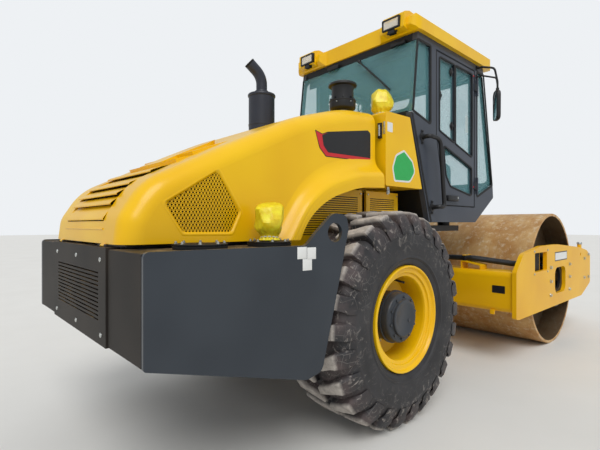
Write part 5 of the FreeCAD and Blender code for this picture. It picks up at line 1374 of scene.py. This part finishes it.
def wiper(pivot, tip, away):
    """Arm from its pivot to the blade's middle, and the blade along the lower part of that line."""
    pivot, tip, away = Vector(pivot), Vector(tip), Vector(away)
    middle = pivot.lerp(tip, 0.62)
    hub = turned([(-0.012, 0), (-0.012, 0.016), (0.012, 0.016), (0.018, 0.010), (0.018, 0)], pivot + away * 0.008, away, 20)
    arm = tube([pivot + away * 0.022, pivot.lerp(tip, 0.2) + away * 0.030, middle + away * 0.022], 0.0080, 0.08)
    blade = tube([pivot.lerp(tip, 0.24) + away * 0.012, tip + away * 0.012], 0.0085, 0)
    back = tube([pivot.lerp(tip, 0.34) + away * 0.017, middle + away * 0.026, pivot.lerp(tip, 0.9) + away * 0.017], 0.0035, 0.05)
    return [hub, arm, blade, back]


def on_rear(y, z):
    return (at(0.603 + (z - 2.364) * 0.1166), y, z)


def on_screen(y, z):
    return (at(2.200 - (z - 1.822) * 0.2021), y, z)


rear_wiper = wiper(on_rear(-0.085, 2.975), on_rear(-0.470, 2.600), (-0.993, 0, 0.116))
front_wiper = wiper(on_screen(-0.05, 1.850), on_screen(0.24, 2.42), (0.980, 0, 0.198))
finish(merged(rear_wiper + front_wiper), "cab_wipers", BLACK_PLASTIC, "chassis")

# %% [markdown]
# The doors have a pull handle with a lock, three window catches and two hinges whose screws carry small red caps.
# The handle's cover goes over the solid's plain block.

# %% Door furniture
handle = merged([
    block((at(1.158), CAB_Y - 0.0310, 1.618), (at(1.362), CAB_Y + 0.004, 1.670), 0.009),
    block((at(1.176), CAB_Y - 0.0345, 1.628), (at(1.318), CAB_Y - 0.026, 1.640), 0.003),
])
latches = []
for x, z in ((1.282, 2.858), (1.296, 2.343), (1.072, 2.590)):
    latches.append(turned([(-0.002, 0), (-0.002, 0.026), (0.008, 0.026), (0.012, 0.020), (0.020, 0.018), (0.024, 0.013), (0.024, 0)],
                          (at(x), CAB_Y + 0.0215, z), (0, -1, 0), 24))
    latches.append(block((at(x) - 0.012, CAB_Y + 0.004, z - 0.040), (at(x) + 0.012, CAB_Y + 0.0215, z + 0.040), 0.006))
covers = [block((at(1.742), CAB_Y - 0.0135, z + 0.016), (at(1.795), CAB_Y - 0.001, z + 0.094), 0.004) for z in (1.740, 2.760)]
right = merged([handle] + latches + covers)
finish(reflected(right), "door_furniture_left", BLACK_PLASTIC, "cab_door_left")
finish(right, "door_furniture_right", BLACK_PLASTIC, "cab_door_right")
caps = merged([turned([(0, 0), (0, 0.008), (0.004, 0.008), (0.006, 0.005), (0.006, 0)], (at(1.733), CAB_Y + 0.002, z), (0, -1, 0), 16)
               for z in (2.927, 1.782)])
finish(reflected(caps), "hinge_caps_left", RED_VINYL, "cab_door_left")
finish(caps, "hinge_caps_right", RED_VINYL, "cab_door_right")
key = turned([(-0.002, 0), (-0.002, 0.011), (0.0015, 0.011), (0.0015, 0)], (at(1.338), CAB_Y - 0.0310, 1.650), (0, -1, 0), 20)
finish(reflected(key), "door_lock_left", ZINC, "cab_door_left")
finish(key, "door_lock_right", ZINC, "cab_door_right")

# %% [markdown]
# The grab rail beside each door is a thick bent tube on two round feet. It leaves its upper foot, turns down in a
# wide bend and comes back to the lower foot. The mirror hangs outside it on two thinner tubes. Its head is turned
# towards the operator, so from behind it shows almost edge on. Both take the place of the plainer solids.

# %% Grab rails and mirrors
rail = tube([(at(0.742), CAB_Y, 2.156), (at(0.742), CAB_Y - 0.080, 2.156), (at(0.915), CAB_Y - 0.080, 2.152), (at(0.985), CAB_Y - 0.080, 1.556),
             (at(0.905), CAB_Y - 0.080, 1.552), (at(0.905), CAB_Y, 1.548)], 0.019, 0.085, 10, 4)
feet = []
for x, z in ((0.742, 2.156), (0.905, 1.548)):
    feet.append(turned([(-0.001, 0), (-0.001, 0.038), (0.006, 0.038), (0.009, 0.033), (0.009, 0.024), (0.024, 0.0215), (0.024, 0)],
                       (at(x), CAB_Y, z), (0, -1, 0), 28))
    feet.append(block((at(x) - 0.016, CAB_Y - 0.006, z - 0.062), (at(x) + 0.016, CAB_Y + 0.001, z + 0.062), 0.003))
    feet.append(bolts([(at(x), CAB_Y - 0.006, z + s * 0.049) for s in (1, -1)], (0, -1, 0), 0.013, False))
arm = tube([(at(1.800), CAB_Y + 0.002, 3.022), (at(1.800), -0.780, 3.022), (at(1.835), -0.890, 2.990), (at(1.858), -0.910, 2.850), (at(1.858), -0.910, 2.700)], 0.0105, 0.05)
brace = tube([(at(1.800), CAB_Y + 0.002, 2.932), (at(1.800), -0.780, 2.932), (at(1.850), -0.902, 2.890), (at(1.857), -0.910, 2.810)], 0.0085, 0.03)
ears = [block((at(1.785), CAB_Y - 0.010, z - 0.022), (at(1.815), CAB_Y + 0.002, z + 0.022), 0.004) for z in (3.022, 2.932)]
MIRROR_TURN = math.radians(-54)


def headed(piece):
    """Turn a piece made about the mirror's own middle and set it in its place."""
    piece.matrix_world = Matrix.Translation((at(1.862), -0.905, 2.607)) @ Matrix.Rotation(MIRROR_TURN, 4, "Z")
    return place_in_mesh(piece)


outline = [(-0.072, -0.150, 0.045), (0.072, -0.150, 0.045), (0.078, 0.150, 0.05), (-0.078, 0.150, 0.05)]
shell = plate(outline, [], "front", 1, 0.038, 0.012)
shell.location.x = -1 + 0.019
lip = plate([(u * 1.0, v, r) for u, v, r in outline], [grown(outline, -0.010)], "front", 1, 0.006, 0.002)
lip.location.x = -1 - 0.018
pane = plate(grown(outline, -0.012), [], "front", 1, 0.003, 0.0005)
pane.location.x = -1 - 0.0185
shell, lip, pane = (headed(place_in_mesh(piece)) for piece in (shell, lip, pane))
knuckle = turned([(-0.020, 0), (-0.020, 0.016), (0.020, 0.016), (0.020, 0)], (at(1.858), -0.910, 2.765), (0, 0, 1), 20)
rails = merged([rail, arm, brace, shell, lip, knuckle] + ears + feet)
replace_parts(finish(merged([rails, reflected(rails)]), "grab_rails_and_mirrors", BLACK_PLASTIC, "chassis", 45), "cab_rails")
finish(merged([pane, reflected(pane)]), "mirror_panes", MIRROR, "chassis")
strip = plate(machine([(0.880, 1.420, 0.004), (0.905, 1.420, 0.004), (0.600, 2.345, 0.004), (0.574, 2.345, 0.004)]), [], "right", CAB_Y - 0.003, 0.0045, 0.001)
finish(merged([strip, reflected(strip)]), "cab_edge_strip", SEAL_RUBBER, "chassis")

print("cab sides ready")

# %% [markdown]
# ## Roof
# A work lamp is a black housing with a bright dish, a bulb and a pane. The dish is what makes it look like a lamp: its
# sloping sides mirror light from above and below. Rectangular lamps sit in the rear pods on a bracket. The two round
# ones in front light the drum.

# %% Work lamps
housings, dishes, panes = [], [], []


def dish_skin(y, z, half_y, half_z):
    """A rectangular dish that narrows in three steps towards its bulb."""
    lines = []
    for share, x in ((1.0, 0.5475), (0.78, 0.5600), (0.50, 0.5665), (0.20, 0.5685), (0.02, 0.5690)):
        rows = [(sy * half_y * share, sz * half_z * share, 0.010 * share) for sy, sz in ((-1, -1), (1, -1), (1, 1), (-1, 1))]
        lines.append([(at(x), y + p.x, z + p.y) for p in rounded(rows, 3)])
    return lofted(lines, (-1, 0, 0))


for side in (1, -1):
    y = side * 0.532
    outline = [(-y - 0.091, 3.093, 0.010), (-y + 0.091, 3.093, 0.010), (-y + 0.091, 3.195, 0.010), (-y - 0.091, 3.195, 0.010)]
    housings.append(plate(outline, [grown(outline, -0.015)], "back", at(0.5395), 0.020, 0.003))
    housings.append(block((at(0.5695), y - 0.086, 3.098), (at(0.5745), y + 0.086, 3.190), 0.001))
    housings.append(block((at(0.546), y - 0.034, 3.058), (at(0.590), y + 0.034, 3.092), 0.004))
    housings.append(tube([(at(0.566), y - 0.050, 3.074), (at(0.566), y + 0.050, 3.074)], 0.008, 0))
    dishes.append(dish_skin(y, 3.144, 0.0775, 0.0375))
    dishes.append(turned([(-0.004, 0), (-0.004, 0.008), (0.004, 0.010), (0.010, 0.008), (0.013, 0)], (at(0.566), y, 3.144), (-1, 0, 0), 16))
    panes.append(block((at(0.5435), y - 0.077, 3.107), (at(0.5455), y + 0.077, 3.181), 0.0008))
    ring = [(-0.004, 0.040), (0.010, 0.0445), (0.010, 0.0490), (-0.002, 0.0500)]
    housings.append(turned(ring, (at(2.104), side * 0.500, 3.112), (1, 0, 0), 32))
    dishes.append(turned([(-0.020, 0.004), (-0.012, 0.024), (0.002, 0.041)], (at(2.108), side * 0.500, 3.112), (1, 0, 0), 28))
    panes.append(turned([(0.002, 0), (0.002, 0.0420), (0.0045, 0.040), (0.008, 0.026), (0.009, 0)], (at(2.104), side * 0.500, 3.112), (1, 0, 0), 28))
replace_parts(finish(merged(panes), "lamp_lenses", LAMP_GLASS, "chassis"), "roof_lamps")
finish(merged(dishes), "lamp_reflectors", REFLECTOR, "chassis")
finish(merged(housings), "lamp_housings", BLACK_PLASTIC, "chassis")
cable_boxes = [block((at(0.640), y - 0.075, 2.985), (at(0.674), y + 0.075, 3.024), 0.010) for y in (0.250, -0.535)]
finish(merged(cable_boxes), "rear_pane_brackets", BLACK_PLASTIC, "chassis")
sticker = plate(machine([(1.610, 2.330, 0.004), (1.672, 2.330, 0.004), (1.672, 2.500, 0.004), (1.610, 2.500, 0.004)]), [], "right", CAB_Y + 0.0290, 0.0008, 0.0002)
finish(sticker, "door_sticker_blank", WHITE_VINYL, "cab_door_right")
# %% [markdown]
# ## Inside the cab
# Through the panes show the headliner, the seat, the levers and a monitor. The seat's pads are foam in a sewn cover.
# Foam swells against its cover, so each pad starts as a slightly smaller block, gets an even grid of faces, and cloth
# under pressure rounds it. No point may move more than 24 mm. The seams are added afterwards, because the grid would
# swallow them.

# %% Seat pads
SEAT_Z = 1.8405


def foam(low, high, lean=0.0, cell=0.011):
    """A block that is remeshed to an even grid, leaned back about its foot and blown up a little."""
    pad = block(low, high, 0.022)
    modify(pad, "REMESH", mode="VOXEL", voxel_size=cell)
    if lean:
        foot = Matrix.Translation(((low[0] + high[0]) / 2, 0, low[2]))
        pad.matrix_world = foot @ Matrix.Rotation(lean, 4, "Y") @ foot.inverted()
        place_in_mesh(pad)
    before = [v.co.copy() for v in pad.data.vertices]
    take(pad)
    cloth = pad.modifiers.new("cloth", "CLOTH")
    cloth.settings.use_pressure = True
    cloth.settings.uniform_pressure_force = 4
    cloth.settings.quality = 4
    cloth.settings.tension_stiffness = 20
    cloth.settings.effector_weights.gravity = 0
    for step in range(1, 21):
        bpy.context.scene.frame_set(step)
    bpy.ops.object.modifier_apply(modifier="cloth")
    bpy.context.scene.frame_set(1)
    for vertex, start in zip(pad.data.vertices, before):
        moved = vertex.co - start
        if moved.length > 0.024:
            vertex.co = start + moved.normalized() * 0.024
    modify(pad, "SUBSURF", levels=1, render_levels=1)
    return pad


cushion = foam((at(1.045), -0.222, 1.862), (at(1.478), 0.222, 1.922))
for vertex in cushion.data.vertices:
    vertex.co.z = max(vertex.co.z, SEAT_Z)
back = foam((at(1.020), -0.205, 1.965), (at(1.080), 0.205, 2.500), lean=-0.115)
for name, pad in (("seat_cushion", cushion), ("seat_back", back)):
    finish(pad, name, SEAT_CLOTH, "chassis", 60)
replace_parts(cushion, "seat_cushions")
lows = [min(v.co[i] for v in cushion.data.vertices) for i in range(3)]
highs = [max(v.co[i] for v in cushion.data.vertices) for i in range(3)]
print("cushion:", [round(v, 3) for v in lows + highs], len(cushion.data.vertices), "points")
piping = []
for pad, level in ((cushion, 1.892),):
    x0, x1, y0 = lows[0], highs[0], highs[1]
    piping.append(tube([(x0 + 0.004, -y0 + 0.03, level), (x0 + 0.03, -y0 + 0.004, level), (x1 - 0.03, -y0 + 0.004, level), (x1 - 0.004, -y0 + 0.03, level),
                        (x1 - 0.004, y0 - 0.03, level), (x1 - 0.03, y0 - 0.004, level), (x0 + 0.03, y0 - 0.004, level), (x0 + 0.004, y0 - 0.03, level)], 0.0045, 0.02, closed=True))
finish(merged(piping), "seat_piping", SEAL_RUBBER, "chassis")

# %% [markdown]
# The rest of the inside is plain equipment: a headliner with a rolled blind behind the rear pane, two levers, one with
# a moulded grip, a monitor on an arm and a gauge panel.

# %% Headliner, levers and monitor
headliner = merged([
    block((at(0.752), -0.664, 3.018), (at(1.892), 0.664, 3.0565), 0.008),
    block((at(0.752), -0.664, 2.975), (at(0.800), 0.664, 3.030), 0.008),
])
finish(headliner, "headliner", HEADLINER, "chassis")
blind = [tube([(at(0.735), -0.60, 2.952), (at(0.735), 0.60, 2.952)], 0.019, 0)]
for y in (0.376, 0.129, -0.35):
    blind.append(block((at(0.716), y - 0.012, 2.925), (at(0.760), y + 0.012, 2.990), 0.003))
blind.append(block((at(0.690), -0.640, 2.882), (at(0.704), 0.640, 2.968), 0.004))
finish(merged(blind), "rear_blind", BLACK_PLASTIC, "chassis")
grip = [(0.0, 0), (0.0, 0.012), (0.03, 0.011), (0.06, 0.017), (0.10, 0.024), (0.13, 0.026), (0.145, 0.020), (0.150, 0.010), (0.150, 0)]
levers = [
    turned(grip, (at(1.365), -0.445, 2.105), (0.12, 0, 1), 24), tube([(at(1.350), -0.445, 2.02), (at(1.367), -0.445, 2.115)], 0.009, 0),
    turned([(-0.002, 0.055), (0.012, 0.050), (0.026, 0.030), (0.034, 0.014), (0.034, 0)], (at(1.350), -0.445, 2.030), (0, 0, 1), 28),
    block((at(1.160), -0.565, 2.056), (at(1.300), -0.325, 2.082), 0.012),
    block((at(1.070), 0.245, 2.040), (at(1.340), 0.315, 2.085), 0.014),
    tube([(at(1.120), 0.20, 1.900), (at(1.120), 0.280, 1.930), (at(1.130), 0.280, 2.050)], 0.014, 0.03),
    block((at(1.005), -0.120, 2.525), (at(1.065), 0.120, 2.640), 0.020),
    tube([(at(1.030), -0.05, 2.44), (at(1.036), -0.05, 2.55)], 0.007, 0), tube([(at(1.030), 0.05, 2.44), (at(1.036), 0.05, 2.55)], 0.007, 0),
]
finish(merged(levers), "levers_and_armrests", BLACK_PLASTIC, "chassis")
monitor = [
    block((at(1.700), -0.520, 2.140), (at(1.736), -0.300, 2.300), 0.008),
    tube([(at(1.705), -0.410, 2.150), (at(1.700), -0.410, 2.020), (at(1.560), -0.430, 1.965)], 0.013, 0.05),
    block((at(1.588), -0.150, 1.990), (at(1.700), 0.150, 2.062), 0.012),
]
finish(merged(monitor), "monitor_and_gauges", CABIN_PLASTIC, "chassis")
screen = merged([block((at(1.6985), -0.508, 2.152), (at(1.7005), -0.312, 2.288), 0.0006)]
                + [turned([(-0.001, 0), (-0.001, 0.024), (0.002, 0.024), (0.002, 0)], (at(1.640), y, 2.0615), (0, 0, 1), 24) for y in (-0.09, 0, 0.09)])
finish(screen, "monitor_screen", BLACK_VINYL, "chassis")
print("cab inside ready")
# %% [markdown]
# ## Front frame
# Bolts in columns hold the side plates to the beams and to the drum's carriers. They are drawn once and copied. The
# lashing knob on the top edge is capped with zinc.

# %% Bolts of the side plates
PLATE_Y = -1.150
columns = [(2.695, 0.914), (2.695, 0.760), (2.688, 0.607), (3.404, 0.907), (3.404, 0.756), (3.392, 0.603)]
rows = [(x, PLATE_Y, z) for x, z in columns]
rows += [(4.068, PLATE_Y, 0.943), (4.270, PLATE_Y, 0.985), (4.068, PLATE_Y, 0.686), (4.270, PLATE_Y, 0.681)]
heads = bolts([(at(x), y, z) for x, y, z in rows], (0, -1, 0), 0.030)
small = bolts([(at(x), PLATE_Y, z) for x, z in ((2.183, 0.880), (2.183, 1.114), (2.592, 0.880), (2.592, 1.114))], (0, -1, 0), 0.016)
knob = turned([(-0.020, 0.0305), (0.004, 0.0305), (0.008, 0.028), (0.010, 0.018), (0.010, 0)], (at(3.925), -1.130, 1.152), (0, 0, 1), 32)
right = merged([heads, small, knob])
finish(merged([right, reflected(right)]), "plate_bolts", ZINC, "front_frame")

# %% [markdown]
# Behind the window in the right side plate stands a bracket, beside it is a label plate that stays bare, and the rear
# beam carries another. The beam's lower tabs are what keep its long face from looking blank.

# %% Brackets, tabs and bare label plates
bracket = merged([
    block((at(2.470), -1.106, 0.885), (at(2.484), -1.040, 1.110), 0.003), block((at(2.470), -1.054, 0.885), (at(2.590), -1.040, 1.110), 0.003),
])
tabs = [block((at(1.716), y - 0.022, 0.500), (at(1.742), y + 0.022, 0.548), 0.003) for y in (-0.914, -0.32, 0.32, 0.914)]
gusset = plate([(at(1.722), 0.700, 0), (at(1.722), 0.900, 0.02), (at(1.690), 0.900, 0.01), (at(1.690), 0.700, 0.01)], [], "right", -0.300, 0.018, 0.002)
finish(merged([bracket, reflected(bracket), gusset, reflected(gusset)] + tabs), "front_frame_brackets", FRAME_YELLOW, "front_frame")
# A black sheet just inside each side plate's window is painted shade: it darkens the opening.
shade = block((at(2.190), -1.108, 0.880), (at(2.468), -1.100, 1.115), 0.002)
finish(merged([shade, reflected(shade)]), "plate_window_painted_shade", CORE_AND_SHADE_BLACK, "front_frame")
beam_plate = plate([(0.914, 0.717, 0.006), (1.038, 0.717, 0.006), (1.038, 0.791, 0.006), (0.914, 0.791, 0.006)], [], "back", at(1.7185), 0.0022, 0.0004)
finish(beam_plate, "beam_plate_bare", BLACK_VINYL, "front_frame")
for name, grow, level, material in (("plate_label_black", 0.012, 0.0008, BLACK_VINYL), ("plate_label_white", 0.0, 0.0016, WHITE_VINYL)):
    rows = frame_outline(at(2.860) - grow, at(3.292) + grow, 0.985 - grow, 1.066 + grow, 0.006)
    finish(plate(rows, [], "right", PLATE_Y - level, 0.0012, 0.0003), name, material, "front_frame")

# %% [markdown]
# The two oil hoses end in pressed sleeves with hexagon nuts. A clamp holds them on the bent strip: two black halves
# round both hoses, a yellow strap on top, and two bolts. The hoses are solids of the frame, so only the fittings are new.

# %% Hose fittings and clamps
START = 1.720
fittings, halves, straps = [], [], []
for ahead in (0.0, 0.062):
    x = at(START + 0.070 + ahead)
    fittings.append(turned([(0, 0.030), (0.014, 0.030), (0.014, 0.0275), (0.052, 0.0275), (0.054, 0.0262)], (x, -0.060, 0.930), (0, 0, 1), 32))
    fittings.append(turned([(0, 0), (0.001, 0.036), (0.016, 0.036), (0.017, 0)], (x, -0.060, 0.9295), (0, 0, 1), 6))
    end = at(START + 0.240 + ahead)
    fittings.append(turned([(0.0, 0.036), (0.016, 0.036), (0.016, 0.030), (0.050, 0.0285), (0.052, 0.0262)], (end, -1.1095, 0.995), (0, 1, 0), 24))
for y in (-0.585, -0.330):
    low, high = (0.0, 0.062)
    x0, x1 = at(START + 0.070 + 0.030 + 0.10 * abs(y + 0.33)), 0
    x0 = at(START + (0.115 if y < -0.5 else 0.087))
    halves.append(block((x0 - 0.040, y - 0.020, 1.000), (x0 + 0.102, y + 0.020, 1.0655), 0.008))
    straps.append(block((x0 - 0.046, y - 0.016, 1.0640), (x0 + 0.108, y + 0.016, 1.0700), 0.0015))
    fittings.append(bolts([(x0 + 0.031, y, 1.0700)], (0, 0, 1), 0.016))
finish(merged(fittings), "hose_fittings", ZINC, "front_frame")
finish(merged(halves), "hose_clamps", BLACK_PLASTIC, "front_frame")
finish(merged(straps), "hose_clamp_straps", FRAME_YELLOW, "front_frame")

# %% [markdown]
# In the hub's window a motor turns the drum on the right and a bearing cover closes the left end. Each is a stepped
# round body with a ring of bolts. Rubber buffers between the carrier and the plate keep the shaking away.

# %% Drum motor and bearing cover
DRUM_CENTRE = (DRUM_X, 0, DRUM_RADIUS)
rows = [(0.940, 0), (0.940, 0.150), (0.965, 0.150), (0.970, 0.128), (1.010, 0.120), (1.020, 0.098), (1.062, 0.094), (1.070, 0.080), (1.072, 0)]
motor = merged([
    turned(rows, (DRUM_X, 0, DRUM_RADIUS), (0, -1, 0), 48),
    block((DRUM_X - 0.06, -1.066, DRUM_RADIUS + 0.06), (DRUM_X + 0.06, -0.99, DRUM_RADIUS + 0.125), 0.008),
    turned(rows[:5] + [(1.016, 0.105), (1.018, 0)], (DRUM_X, 0, DRUM_RADIUS), (0, 1, 0), 48),
])
finish(motor, "drum_motor", HUB_GREY, "front_frame")
ring = [(0.134 * math.cos(a), 0.134 * math.sin(a)) for a in (2 * math.pi * k / 12 for k in range(12))]
heads = bolts([(DRUM_X + u, -0.965, DRUM_RADIUS + v) for u, v in ring], (0, -1, 0), 0.018, False)
finish(merged([heads, reflected(heads)]), "drum_motor_bolts", ZINC, "front_frame")
print("front frame details ready")
